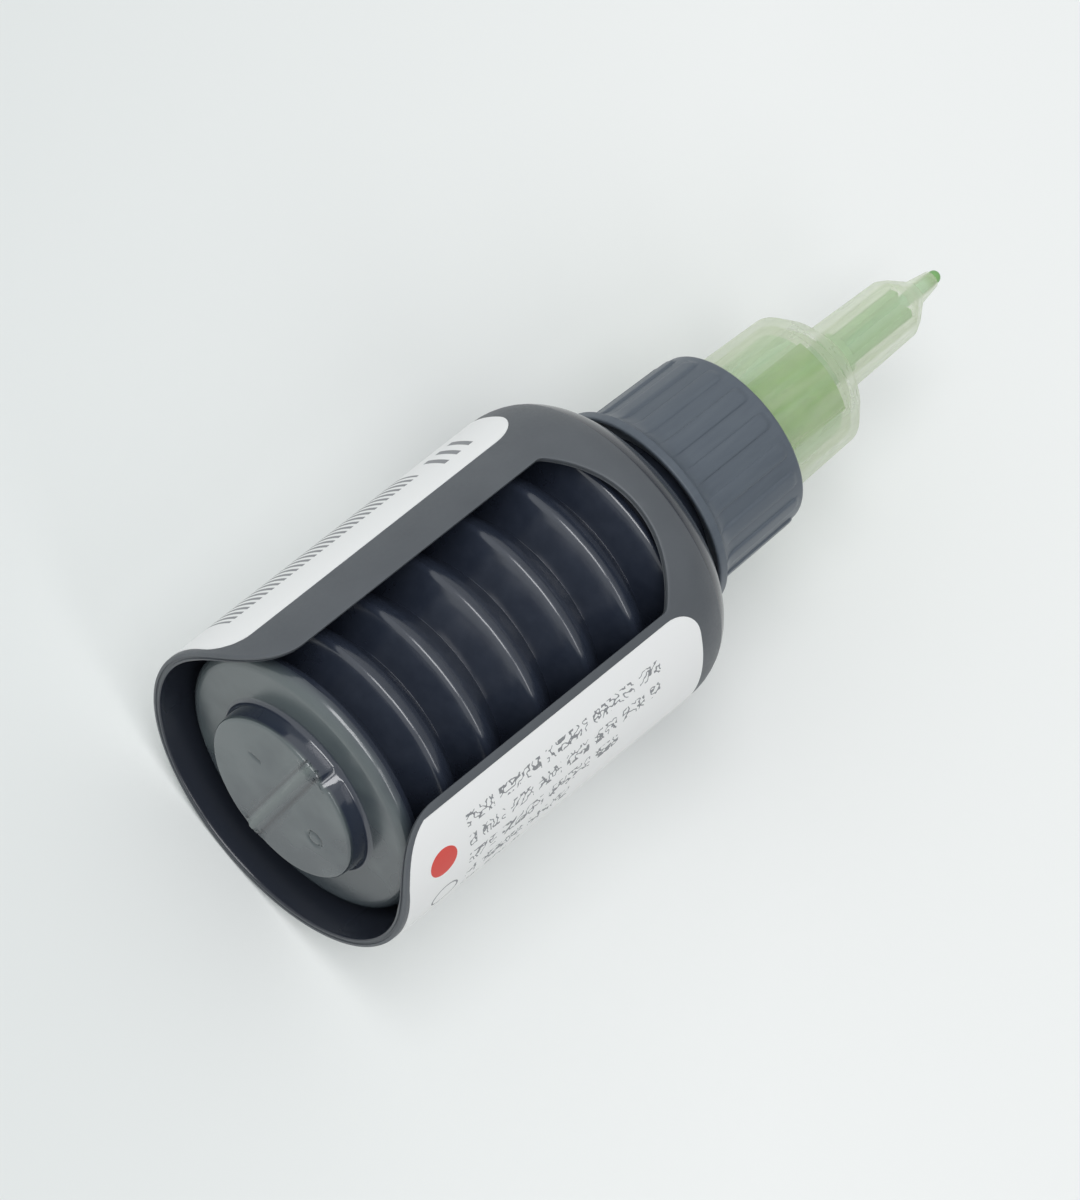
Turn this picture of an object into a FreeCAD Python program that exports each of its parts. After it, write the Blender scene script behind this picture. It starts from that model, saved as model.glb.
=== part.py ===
"""Dispensing bottle for gasket sealant: a 50 ml bellows bottle in a rigid grip sleeve.

The bottle lies on its side. Everything round is built about the X axis with the sleeve's rear
rim at x = 0 and the nozzle towards +X, and is moved at the end, so that the origin lies on the
resting surface under the middle of the length. The thumb window of the sleeve faces up (+Z).
Profiles are lists of (x, radius) and lengths are in millimetres.
"""

import FreeCAD, Part
import math
import os

from FreeCAD import Vector

# ---- grip sleeve ---------------------------------------------------------------------------
SLEEVE_RADIUS = 24.0
SLEEVE_LENGTH = 67.4
SLEEVE_WALL = 1.4
SHOULDER_RADIUS = 9.2           # rounding between the tube and its front face
RIM_CHAMFER = 0.3               # on both edges of the rear rim
REST_LAND_DEPTH = 0.1           # a narrow flat along its underside, on which it lies still

# ---- thumb window in the sleeve, as seen from above ----------------------------------------
WINDOW_HALF_WIDTH = 13.4
WINDOW_SETBACK = 0.2            # from the start of the sleeve's shoulder to its front edge
WINDOW_FRONT_RADIUS = 21.5      # its front edge is an arc that bulges forward
WINDOW_CORNER_RADIUS = 1.2
WINDOW_RIM_MARGIN = 2.1         # where it runs out through the rim, inside the sleeve's side

# ---- label wrapped round the sleeve --------------------------------------------------------
LABEL_THICKNESS = 0.10
LABEL_RECESS = 0.25             # depth of the panel moulded for it
LABEL_CLEARANCE = 0.15          # between the label's edge and the panel's edge
LABEL_CORNER_RADIUS = 5.0
LABEL_REAR_STRIP = 0.9          # bare strips of sleeve round the label: at the rear rim,
LABEL_FRONT_STRIP = 0.6         # before the rounded shoulder,
LABEL_LEFT_STRIP = 7.73         # beside the window on the +Y side
LABEL_RIGHT_STRIP = 1.53        # and on the -Y side,
LABEL_WINDOW_STRIP = 0.8        # and along the window's rounded rear corner

# ---- bellows bottle ------------------------------------------------------------------------
FOLD_CLEARANCE = 1.4            # between the folds and the sleeve's bore
FOLD_DEPTH = 5.4
FOLD_BAND = 2.6                 # length of a fold's outer band, sharp at the rear
FOLD_ROUNDING = 0.6             # its softer front edge
VALLEY_BAND = 0.7
FOLD_PITCHES = (7.8, 8.3, 9.7, 9.5, 9.3, 8.3)   # the rearmost folds have closed up in use
BOTTLE_SHOULDER_RADIUS = 6.0
BOTTLE_SEAT_MARGIN = 0.6        # the seat ends this far inside the sleeve's rounding
NECK_RADIUS = 12.0
NECK_LENGTH = 18.0              # beyond the bottle's shoulder
NECK_WALL = 2.0
NECK_BORE_DEPTH = 14.0
NECK_CLEARANCE = 0.3            # in the hole of the sleeve's front face
SNAP_RING_HEIGHT = 0.5          # ring on the neck that keeps the collar on
SNAP_RING_LENGTH = 1.8
SNAP_RING_SETBACK = 9.0         # from the neck's front face

# ---- end disc of the bottle ----------------------------------------------------------------
DISC_SETBACK = 0.6              # from its face to the rear edge of its fold
DISC_CORNER_RADIUS = 1.7
BOSS_RADIUS = 13.4
BOSS_HEIGHT = 3.3
BOSS_TAPER = 0.35
BOSS_EDGE = 0.4
PINCH_RIB_MARGIN = 0.9          # from the boss's edge to the ends of its upright seam
PINCH_RIB_WIDTH = 1.1
PINCH_RIB_HEIGHT = 0.3

# ---- ribbed collar -------------------------------------------------------------------------
COLLAR_GAP = 1.6                # between the sleeve's front face and the collar
COLLAR_WALL = 2.19              # at its rear, between the ribs
COLLAR_TAPER = 0.35             # the collar is this much slimmer at its front
COLLAR_EDGE = 0.45
COLLAR_WEB = 1.6
COLLAR_FIT = 0.06               # running clearance on the neck and its snap ring
FLANGE_REACH = 1.95             # beyond the collar's own radius
FLANGE_BAND = 1.3
FLARE_LENGTH = 3.6
RIB_COUNT = 18
RIB_HEIGHT = 0.3
RIB_SETBACK = 1.4               # from the collar's front face to the ribs' ends
RIB_SHARE = 0.55                # share of the pitch that a rib takes

# ---- nozzle --------------------------------------------------------------------------------
NOZZLE_GAP = 0.3                # between the neck's front face and the nozzle
NOZZLE_FIT = 0.10               # running clearance in the collar's front hole
NOZZLE_LIFT = 2.0               # axial travel when the nozzle is twisted open
LIFT_CLEARANCE = 0.1            # left under the collar's web when it is open
CHAMBER_CLEARANCE = 0.1         # round the nozzle's flange, inside the collar
NOZZLE_FLANGE = 0.9
NOZZLE_FLANGE_STEP = 0.61       # from the flange down to the skirt
SKIRT_TAPER = 0.7
SKIRT_WALL = 1.6
SKIRT_LENGTH = 19.5             # from the nozzle's rear face
BEVEL_RADIUS = 8.5              # where the bevel meets the steeper cone
BEVEL_LENGTH = 2.5
CONE_LENGTH = 2.2
CONE_WALL_ALONG = 0.8           # wall of bevel and cone, measured along the axis
CONE_WALL_ACROSS = 1.1          # and across it
BARREL_RADIUS = 5.2
BARREL_TAPER = 0.5
BARREL_LENGTH = 14.0
BARREL_WALL = 1.5
BARREL_BEVEL = 0.7
BARREL_BEVEL_LENGTH = 1.4
TIP_CONE_LENGTH = 2.8
TIP_CONE_WALL = 0.3             # along the axis
TIP_WALL = 0.55
TIP_LENGTH = 4.3
MOUTH_LENGTH = 0.8
MOUTH_FIT = 0.08                # clearance between the pin and the mouth

# ---- insert: plug, hub, finned stem and pin ------------------------------------------------
PLUG_LENGTH = 8.0
FLOW_GROOVE_RADIUS = 1.3
HUB_FIT = 0.10                  # clearance between the hub's lands and the nozzle's skirt
HUB_RECESS = 1.0                # depth of the flow channels between the lands
HUB_END_GAP = 0.7               # to the nozzle's inner bevel
LAND_ANGLE = 71.0
LAND_TURN = 10.0                # of the upper land, from straight up towards -Y
STEM_ROOT_GAP = 0.4             # round the stem's solid root, inside the barrel
STEM_ROOT_LENGTH = 8.7
STEM_FIN_GAP = 0.8              # round its fins
STEM_FIN_THICKNESS = 1.5
STEM_END_GAP = 0.3              # to the nozzle's inner tip cone
FIN_TURN = 47.0                 # of the first fin, from straight up towards -Y
PIN_RADIUS = 1.0
PIN_GAP = 0.35                  # round the pin, inside the tip
PIN_REACH = 1.0                 # how far the pin stands out of the closed nozzle

# ---- places along the axis -----------------------------------------------------------------
shoulder_back = SLEEVE_LENGTH - SHOULDER_RADIUS
window_front = shoulder_back - WINDOW_SETBACK
web_back = SLEEVE_LENGTH - SLEEVE_WALL
bottle_shoulder = web_back - BOTTLE_SHOULDER_RADIUS
fold_backs = [bottle_shoulder - FOLD_BAND]
for pitch in reversed(FOLD_PITCHES):
    fold_backs.insert(0, fold_backs[0] - pitch)
valleys = [(a + FOLD_BAND + b) / 2 for a, b in zip(fold_backs, fold_backs[1:])]
disc_back = fold_backs[0] - DISC_SETBACK
neck_front = web_back + NECK_LENGTH
snap_ring_back = neck_front - SNAP_RING_SETBACK
collar_back = SLEEVE_LENGTH + COLLAR_GAP
nozzle_back = neck_front + NOZZLE_GAP
chamber_front = nozzle_back + NOZZLE_FLANGE + NOZZLE_LIFT + LIFT_CLEARANCE
collar_front = chamber_front + COLLAR_WEB
skirt_front = nozzle_back + SKIRT_LENGTH
bevel_front = skirt_front + BEVEL_LENGTH
barrel_back = bevel_front + CONE_LENGTH
barrel_front = barrel_back + BARREL_LENGTH
barrel_end = barrel_front + BARREL_BEVEL_LENGTH
tip_back = barrel_end + TIP_CONE_LENGTH
nozzle_front = tip_back + TIP_LENGTH
hub_front = skirt_front - CONE_WALL_ALONG - HUB_END_GAP
stem_front = barrel_end - TIP_CONE_WALL - STEM_END_GAP
pin_front = nozzle_front + PIN_REACH

# ---- radii and widths that follow from the fits --------------------------------------------
axis_height = SLEEVE_RADIUS - REST_LAND_DEPTH
sleeve_bore = SLEEVE_RADIUS - SLEEVE_WALL
window_rear_y = SLEEVE_RADIUS - WINDOW_RIM_MARGIN
window_rear_radius = window_rear_y - WINDOW_HALF_WIDTH
fold_radius = sleeve_bore - FOLD_CLEARANCE
valley_radius = fold_radius - FOLD_DEPTH
shoulder_seat = SLEEVE_RADIUS - SHOULDER_RADIUS
bottle_seat = shoulder_seat - BOTTLE_SEAT_MARGIN
label_radius = SLEEVE_RADIUS - LABEL_RECESS
neck_bore = NECK_RADIUS - NECK_WALL
collar_bore = NECK_RADIUS + COLLAR_FIT
collar_radius = collar_bore + COLLAR_WALL
collar_front_radius = collar_radius - COLLAR_TAPER
flange_radius = collar_radius + FLANGE_REACH
nozzle_flange_radius = collar_bore - CHAMBER_CLEARANCE
skirt_radius = nozzle_flange_radius - NOZZLE_FLANGE_STEP
collar_hole = skirt_radius + NOZZLE_FIT
skirt_bore = skirt_radius - SKIRT_WALL
barrel_bore = BARREL_RADIUS - BARREL_WALL
tip_bore = PIN_RADIUS + PIN_GAP
stem_root_radius = barrel_bore - STEM_ROOT_GAP
stem_radius = barrel_bore - STEM_FIN_GAP
hub_radius = skirt_bore - HUB_FIT
channel_radius = hub_radius - HUB_RECESS


def profile(points):
    """A face from (x, radius) points. A third item in a point is a point that an arc, drawn
    from the point before to this one, passes through."""
    edges = []
    for start, end in zip(points, points[1:] + points[:1]):
        a = Vector(start[0], 0, start[1])
        b = Vector(end[0], 0, end[1])
        if len(end) == 3:
            through = Vector(end[2][0], 0, end[2][1])
            edges.append(Part.Arc(a, through, b).toShape())
        else:
            edges.append(Part.makeLine(a, b))
    return Part.Face(Part.Wire(edges))


def turned(points):
    """A solid of revolution about the X axis."""
    return profile(points).revolve(Vector(), Vector(1, 0, 0), 360)


def sector(points, start, angle):
    """A wedge of revolution. Angles count from straight up (+Z) towards -Y."""
    wedge = profile(points).revolve(Vector(), Vector(1, 0, 0), angle)
    wedge.rotate(Vector(), Vector(1, 0, 0), start)
    return wedge


def rectangle(x0, x1, r0, r1):
    return [(x0, r0), (x0, r1), (x1, r1), (x1, r0)]


def on_circle(x, radius, size, degrees):
    """The point of a circle round (x, radius), at an angle above the +X direction."""
    angle = math.radians(degrees)
    return (x + size * math.cos(angle), radius + size * math.sin(angle))


def rounding(x, radius, size, first, last, steps=3):
    """Points along a small or inner rounding, which is drawn as a few short straight steps."""
    turn = (last - first) / steps
    return [on_circle(x, radius, size, first + i * turn) for i in range(steps + 1)]


def window(margin):
    """The thumb window as an upright prism, larger than the opening by margin all round."""
    half = WINDOW_HALF_WIDTH + margin
    rear = window_rear_radius - margin
    front = WINDOW_FRONT_RADIUS + margin
    corner_x = window_front - WINDOW_FRONT_RADIUS + math.sqrt(front ** 2 - half ** 2)
    behind = -SLEEVE_WALL
    edges = []
    for side in (-1, 1):
        rim = Vector(margin, side * window_rear_y, 0)
        start = Vector(window_rear_radius, side * half, 0)
        angle = math.radians(45)
        middle = Vector(window_rear_radius - rear * math.cos(angle),
                        side * (window_rear_y - rear * math.sin(angle)), 0)
        edges.append(Part.makeLine(Vector(behind, side * window_rear_y, 0), rim))
        edges.append(Part.Arc(rim, middle, start).toShape())
        edges.append(Part.makeLine(start, Vector(corner_x, side * half, 0)))
    edges.append(Part.Arc(Vector(corner_x, -half, 0), Vector(window_front + margin, 0, 0),
                          Vector(corner_x, half, 0)).toShape())
    edges.append(Part.makeLine(Vector(behind, -window_rear_y, 0),
                               Vector(behind, window_rear_y, 0)))
    outline = Part.Face(Part.Wire(Part.__sortEdges__(edges)))
    prism = outline.extrude(Vector(0, 0, SLEEVE_RADIUS + SLEEVE_WALL))
    corners = [edge for edge in prism.Edges
               if abs(edge.tangentAt(edge.FirstParameter).z) > 0.99
               and abs(edge.Vertexes[0].X - corner_x) < 0.01]
    return prism.makeFillet(WINDOW_CORNER_RADIUS, corners)


def label_panel(r0, r1, margin):
    """The label's rounded rectangle as a shell from r0 to r1, larger by margin all round."""
    x0 = LABEL_REAR_STRIP - margin
    x1 = shoulder_back - LABEL_FRONT_STRIP + margin
    window_edge = math.asin(WINDOW_HALF_WIDTH / SLEEVE_RADIUS)
    start = math.degrees(window_edge + (LABEL_RIGHT_STRIP - margin) / SLEEVE_RADIUS)
    end = 360 - math.degrees(window_edge + (LABEL_LEFT_STRIP - margin) / SLEEVE_RADIUS)
    panel = sector(rectangle(x0, x1, r0, r1), start, end - start)
    corner = LABEL_CORNER_RADIUS + margin
    corner_angle = math.degrees(corner / SLEEVE_RADIUS)
    past = 1.0
    for x, inward in ((x0, 1), (x1, -1)):
        span = sorted((x - inward * past, x + inward * corner))
        for angle, onward in ((start, 1), (end, -1)):
            first = min(angle - onward * past, angle + onward * corner_angle)
            block = sector(rectangle(*span, r0 - past, r1 + past), first, corner_angle + past)
            disc = Part.makeCylinder(corner, r1 + 2 * past, Vector(x + inward * corner, 0, 0))
            disc.rotate(Vector(), Vector(1, 0, 0), angle + onward * corner_angle)
            panel = panel.cut(block.cut(disc))
    return panel.cut(window(LABEL_WINDOW_STRIP - margin))


def make_sleeve():
    """A tube with a rounded front, a hole for the bottle's neck and the thumb window."""
    outer = on_circle(shoulder_back, shoulder_seat, SHOULDER_RADIUS, 45)
    hole = NECK_RADIUS + NECK_CLEARANCE
    body = turned([
        (0, sleeve_bore + RIM_CHAMFER),
        (0, SLEEVE_RADIUS - RIM_CHAMFER),
        (RIM_CHAMFER, SLEEVE_RADIUS),
        (shoulder_back, SLEEVE_RADIUS),
        (SLEEVE_LENGTH, shoulder_seat, outer),
        (SLEEVE_LENGTH, hole),
        (web_back, hole),
        *rounding(shoulder_back, shoulder_seat, SHOULDER_RADIUS - SLEEVE_WALL, 0, 90),
        (RIM_CHAMFER, sleeve_bore),
    ])
    body = body.cut(label_panel(label_radius, SLEEVE_RADIUS + 1, LABEL_CLEARANCE))
    below = Part.makeBox(SLEEVE_LENGTH, 2 * SLEEVE_RADIUS, SLEEVE_RADIUS,
                         Vector(0, -SLEEVE_RADIUS, -axis_height - SLEEVE_RADIUS))
    return body.cut(below).cut(window(0))


def make_label():
    return label_panel(label_radius, label_radius + LABEL_THICKNESS, 0)


def fold_front(back):
    """The front end of a fold's outer band, with its rounding."""
    front = back + FOLD_BAND
    return [(front - FOLD_ROUNDING, fold_radius), (front, fold_radius - FOLD_ROUNDING)]


def make_bellows():
    """The folds, the shoulder that seats in the sleeve and the neck, filled with sealant."""
    points = [(valleys[0], 0), (valleys[0], valley_radius)]
    for valley, back in zip(valleys, fold_backs[1:]):
        if valley != valleys[0]:
            points.append((valley - VALLEY_BAND / 2, valley_radius))
        points.append((valley + VALLEY_BAND / 2, valley_radius))
        points += [(back, fold_radius), *fold_front(back)]
    ring = NECK_RADIUS + SNAP_RING_HEIGHT
    ring_front = snap_ring_back + SNAP_RING_LENGTH
    points += [
        *rounding(bottle_shoulder, bottle_seat, BOTTLE_SHOULDER_RADIUS, 90, 0),
        (web_back, NECK_RADIUS),
        (snap_ring_back, NECK_RADIUS),
        (snap_ring_back + SNAP_RING_HEIGHT, ring),
        (ring_front - SNAP_RING_HEIGHT, ring),
        (ring_front, NECK_RADIUS),
        (neck_front, NECK_RADIUS),
        (neck_front, neck_bore),
        (neck_front - NECK_BORE_DEPTH, neck_bore),
        (neck_front - NECK_BORE_DEPTH, 0),
    ]
    return turned(points)


def make_bellows_end():
    """The bottle's end disc with its first fold, its round boss and the pinch-off seam."""
    corner = DISC_CORNER_RADIUS
    boss_back = disc_back - BOSS_HEIGHT
    boss_top = BOSS_RADIUS - BOSS_TAPER
    disc = turned([
        (boss_back, 0),
        (boss_back, boss_top - BOSS_EDGE),
        (boss_back + BOSS_EDGE, boss_top),
        (disc_back, BOSS_RADIUS),
        *rounding(disc_back + corner, fold_radius - corner, corner, 180, 90),
        *fold_front(fold_backs[0]),
        (valleys[0] - VALLEY_BAND / 2, valley_radius),
        (valleys[0], valley_radius),
        (valleys[0], 0),
    ])
    length = 2 * (boss_top - BOSS_EDGE - PINCH_RIB_MARGIN)
    rib = Part.makeBox(2 * PINCH_RIB_HEIGHT, PINCH_RIB_WIDTH, length,
                       Vector(boss_back - PINCH_RIB_HEIGHT, -PINCH_RIB_WIDTH / 2, -length / 2))
    return disc.fuse(rib).removeSplitter()


def make_collar():
    """The ribbed ring that turns on the neck. Its front web holds the nozzle's flange."""
    flare_back = collar_back + FLANGE_BAND
    flare_front = flare_back + FLARE_LENGTH
    rise = flange_radius - collar_radius
    sweep = (FLARE_LENGTH ** 2 + rise ** 2) / (2 * rise)
    flare_turn = math.degrees(math.asin(FLARE_LENGTH / sweep))
    groove = collar_bore + SNAP_RING_HEIGHT
    groove_back = snap_ring_back - COLLAR_FIT
    groove_front = snap_ring_back + SNAP_RING_LENGTH + COLLAR_FIT
    ring = turned([
        (collar_back, collar_bore),
        (collar_back, flange_radius),
        *rounding(flare_front, collar_radius + sweep, sweep, -90 - flare_turn, -90),
        (collar_front - COLLAR_EDGE, collar_front_radius),
        (collar_front, collar_front_radius - COLLAR_EDGE),
        (collar_front, collar_hole),
        (chamber_front, collar_hole),
        (chamber_front, collar_bore),
        (groove_front, collar_bore),
        (groove_front - SNAP_RING_HEIGHT, groove),
        (groove_back + SNAP_RING_HEIGHT, groove),
        (groove_back, collar_bore),
    ])
    rib_front = collar_front - RIB_SETBACK
    slope = COLLAR_TAPER / (collar_front - COLLAR_EDGE - flare_front)
    rib_radius = collar_front_radius + slope * (RIB_SETBACK - COLLAR_EDGE)
    outline = [
        (flare_back + RIB_HEIGHT, collar_radius - RIB_HEIGHT),
        (flare_back + RIB_HEIGHT, collar_radius + RIB_HEIGHT),
        (flare_front, collar_radius + RIB_HEIGHT),
        (rib_front - RIB_HEIGHT, rib_radius + RIB_HEIGHT),
        (rib_front, rib_radius),
        (rib_front, rib_radius - RIB_HEIGHT),
    ]
    pitch = 360 / RIB_COUNT
    ribs = [sector(outline, i * pitch, pitch * RIB_SHARE) for i in range(RIB_COUNT)]
    return ring.fuse(ribs)


def make_nozzle():
    """The translucent nozzle: flange, skirt, bevel, cone, barrel and tip."""
    flange_front = nozzle_back + NOZZLE_FLANGE
    skirt_end = skirt_radius - SKIRT_TAPER
    barrel_slim = BARREL_RADIUS - BARREL_TAPER
    tip_radius = tip_bore + TIP_WALL
    mouth = PIN_RADIUS + MOUTH_FIT
    return turned([
        (nozzle_back, skirt_bore),
        (nozzle_back, nozzle_flange_radius),
        (flange_front, nozzle_flange_radius),
        (flange_front, skirt_radius),
        (skirt_front, skirt_end),
        (bevel_front, BEVEL_RADIUS),
        (barrel_back, BARREL_RADIUS),
        (barrel_front, barrel_slim),
        (barrel_end, barrel_slim - BARREL_BEVEL),
        (tip_back, tip_radius),
        (nozzle_front, tip_radius),
        (nozzle_front, mouth),
        (nozzle_front - MOUTH_LENGTH, mouth),
        (nozzle_front - MOUTH_LENGTH, tip_bore),
        (tip_back - TIP_CONE_WALL, tip_bore),
        (barrel_end - TIP_CONE_WALL, barrel_bore),
        (barrel_back - CONE_WALL_ALONG, barrel_bore),
        (bevel_front - CONE_WALL_ALONG, BEVEL_RADIUS - CONE_WALL_ACROSS),
        (skirt_front - CONE_WALL_ALONG, skirt_bore),
    ])


def make_insert():
    """The core in the nozzle: plug, hub with two lands, four-finned stem and pin."""
    plug_back = neck_front - PLUG_LENGTH
    pin_end = pin_front - PIN_RADIUS
    core = turned([
        (plug_back, 0),
        (plug_back, neck_bore),
        (neck_front, neck_bore),
        (neck_front, channel_radius),
        (hub_front, channel_radius),
        (hub_front, stem_root_radius),
        (hub_front + STEM_ROOT_LENGTH, stem_root_radius),
        (hub_front + STEM_ROOT_LENGTH, PIN_RADIUS),
        (pin_end, PIN_RADIUS),
        (pin_front, 0, on_circle(pin_end, 0, PIN_RADIUS, 45)),
    ])
    pieces = []
    for half_turn in (0, 180):
        start = LAND_TURN - LAND_ANGLE / 2 + half_turn
        land = rectangle(neck_front, hub_front, channel_radius - HUB_RECESS, hub_radius)
        pieces.append(sector(land, start, LAND_ANGLE))
    stem_back = hub_front + STEM_ROOT_LENGTH
    for quarter_turn in (0, 90):
        fin = Part.makeBox(stem_front - stem_back, STEM_FIN_THICKNESS, 2 * stem_radius,
                           Vector(stem_back, -STEM_FIN_THICKNESS / 2, -stem_radius))
        fin.rotate(Vector(), Vector(1, 0, 0), FIN_TURN + quarter_turn)
        pieces.append(fin.common(turned(rectangle(stem_back, stem_front, 0, stem_radius))))
    insert = core.fuse(pieces)
    for side in (90, -90):
        groove = Part.makeCylinder(FLOW_GROOVE_RADIUS, PLUG_LENGTH,
                                   Vector(plug_back, 0, neck_bore), Vector(1, 0, 0))
        groove.rotate(Vector(), Vector(1, 0, 0), LAND_TURN + side)
        insert = insert.cut(groove)
    return insert.removeSplitter()


makers = {
    "sleeve": make_sleeve,
    "label": make_label,
    "bellows": make_bellows,
    "bellows_end": make_bellows_end,
    "collar": make_collar,
    "nozzle": make_nozzle,
    "insert": make_insert,
}

os.makedirs("parts", exist_ok=True)
for name, make in makers.items():
    shape = make()
    solids = shape.Solids
    if len(solids) == 1:
        shape = solids[0]
    shape.translate(Vector(-pin_front / 2, 0, axis_height))
    shape.exportStep(f"parts/{name}.step")
    print(f"{name}: {len(solids)} solid, {shape.Volume:.1f} mm3, valid {shape.isValid()}")
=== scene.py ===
"""Squeeze bottle of gasket sealant: a grip sleeve with a thumb window round a folded bottle,
a ribbed collar, a translucent nozzle and a green core. Lengths in the sections are in
millimetres. A place along the axis is counted forwards from the sleeve's rear rim."""
import math
import random

import bmesh
import bpy
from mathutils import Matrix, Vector, noise


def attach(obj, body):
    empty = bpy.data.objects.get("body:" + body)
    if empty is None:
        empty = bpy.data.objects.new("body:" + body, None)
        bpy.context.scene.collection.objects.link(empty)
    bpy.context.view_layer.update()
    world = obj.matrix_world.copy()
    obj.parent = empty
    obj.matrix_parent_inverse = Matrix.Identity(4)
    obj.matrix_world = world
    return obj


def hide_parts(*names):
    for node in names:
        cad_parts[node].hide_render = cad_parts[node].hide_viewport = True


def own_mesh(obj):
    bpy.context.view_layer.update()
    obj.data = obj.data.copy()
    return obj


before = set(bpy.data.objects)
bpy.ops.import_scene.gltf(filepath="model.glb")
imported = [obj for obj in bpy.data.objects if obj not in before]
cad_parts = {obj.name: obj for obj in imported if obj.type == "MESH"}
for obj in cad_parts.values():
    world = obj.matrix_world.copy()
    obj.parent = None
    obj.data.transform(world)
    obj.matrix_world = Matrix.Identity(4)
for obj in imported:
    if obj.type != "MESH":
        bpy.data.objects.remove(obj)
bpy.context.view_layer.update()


# ==== Bottle: the folded wall =================================================================
# The bottle is blown from dark slate polyethylene. Its wall is folded into a bellows that the
# thumb presses together through the window. The folds end at the shoulder, which stays put.
MM = 0.001
REAR_RIM_X = -66.0
AXIS_HEIGHT = 23.9

FOLD_RADIUS = 21.2
VALLEY_RADIUS = 15.8
FOLD_BAND = 2.6                 # width of a fold's outer band
FOLD_REAR_EDGE = 1.0            # rounding of its rear edge, which is the tight one
FOLD_FALL = 1.25                # the band falls by this much towards its soft front
FOLD_STEPS = 8                  # steps of the mesh from its rear edge to its front edge
FOLD_LONGEST = 1.2              # longest step of the mesh along the rest of the wall
VALLEY_ROUNDING = 0.05
FOLD_BACKS = (4.5, 12.3, 20.6, 30.3, 39.8, 49.1, 57.4)
SHOULDER_START = 60.0

PARTING_SIDES = (0, 180)        # where the two halves of the mould met, in degrees
PARTING_WIDTH = 0.35            # the ridge that they left
PARTING_HEIGHT = 0.02
PARTING_STEP = 0.07             # and the slight step between them
PARTING_START = 3.0             # neither shows until this far above the valleys,
PARTING_FADE = 2.0              # and both are whole after this much more
PARTING_FINE = (0.2, 0.4, 0.65, 0.95)   # finer angles of the mesh beside the ridge
ROUND_STEPS = 240
BLOWN_WAVE = 0.035              # a blown wall is never quite round
BLOWN_WAVES = (                 # share, waves round the wall, and their slant along it
    (1, 2, 0.11), (0.6, 5, 0.9), (0.4, 9, -1.7))

BOTTLE_DARK = "#2a303d"
BOTTLE_LIGHT = "#303643"
BOTTLE_SHADE = "#1a1f27"
BOTTLE_TONES = ((0.35, BOTTLE_DARK), (0.7, BOTTLE_LIGHT))
BLOWN_RIPPLE = 2.4              # size of the faint ripples in a blown skin
BLOWN_RELIEF = 0.015
DUST_SIZE = 0.5


def linear(code):
    """An sRGB hex colour as the linear values that a shader takes."""
    parts = [int(code[i:i + 2], 16) / 255 for i in (1, 3, 5)]
    return [p / 12.92 if p <= 0.04045 else ((p + 0.055) / 1.055) ** 2.4 for p in parts] + [1]


def add(material, kind, sockets, **settings):
    """Adds one node with its settings, and its sockets' values or links. A Mix of colours
    takes them at its sockets 6 and 7 and gives its result at 2."""
    node = material.node_tree.nodes.new("ShaderNode" + kind)
    for name, value in settings.items():
        setattr(node, name, value)
    for name, value in sockets.items():
        if isinstance(value, bpy.types.NodeSocket):
            material.node_tree.links.new(value, node.inputs[name])
        else:
            node.inputs[name].default_value = value
    return node


def new_material(name):
    """A material with no nodes in it yet."""
    material = bpy.data.materials.new(name)
    material.use_nodes = True
    material.node_tree.nodes.clear()
    return material


# Blown polyethylene: a smooth waxy skin, glossy with faint ripples, and a little dust on it.
bottle_plastic = new_material("blown slate polyethylene")
place = add(bottle_plastic, "TexCoord", {}).outputs["Object"]
ripple = add(bottle_plastic, "TexNoise", {
    "Vector": place, "Scale": 1 / (BLOWN_RIPPLE * MM), "Detail": 2.0})
dust = add(bottle_plastic, "TexNoise", {
    "Vector": place, "Scale": 1 / (DUST_SIZE * MM), "Detail": 4.0, "Roughness": 0.7})
tone = add(bottle_plastic, "ValToRGB", {"Fac": ripple.outputs["Fac"]})
for stop, (position, colour) in zip(tone.color_ramp.elements, BOTTLE_TONES):
    stop.position, stop.color = position, linear(colour)
gloss = add(bottle_plastic, "MapRange", {
    "Value": dust.outputs["Fac"], "From Min": 0.35, "From Max": 0.75,
    "To Min": 0.17, "To Max": 0.24})
skin = add(bottle_plastic, "Bump", {
    "Height": ripple.outputs["Fac"], "Strength": 0.3, "Distance": BLOWN_RELIEF * MM})
shader = add(bottle_plastic, "BsdfPrincipled", {
    "Base Color": tone.outputs["Color"], "Roughness": gloss.outputs["Result"],
    "IOR": 1.54, "Specular IOR Level": 0.9, "Normal": skin.outputs["Normal"]})
add(bottle_plastic, "OutputMaterial", {"Surface": shader.outputs["BSDF"]})


def blown(s, radius, degrees):
    """The radius of the blown wall, with its parting line and its slight waviness."""
    aside = math.remainder(degrees, 180) * math.pi / 180 * radius
    ridge = PARTING_HEIGHT * math.exp(-(aside / PARTING_WIDTH) ** 2)
    turn = math.radians(degrees)
    across = math.sin(turn) * radius / (2 * PARTING_WIDTH)
    ridge += PARTING_STEP * across / (1 + abs(across))
    ridge *= min(max((radius - VALLEY_RADIUS - PARTING_START) / PARTING_FADE, 0), 1)
    wave = sum(share * math.sin(count * turn + slant * s)
               for share, count, slant in BLOWN_WAVES) / 2
    return radius + ridge - BLOWN_WAVE * (1 + wave) * radius / FOLD_RADIUS


def fold_corners(back, radius):
    """A fold's band, from its rear edge to its front edge."""
    crest = [(back, radius, FOLD_REAR_EDGE)]
    for k in range(1, FOLD_STEPS + 1):
        share = k / FOLD_STEPS
        crest.append((back + FOLD_BAND * share ** 0.8, radius - FOLD_FALL * share ** 1.5, 0))
    return crest


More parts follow.
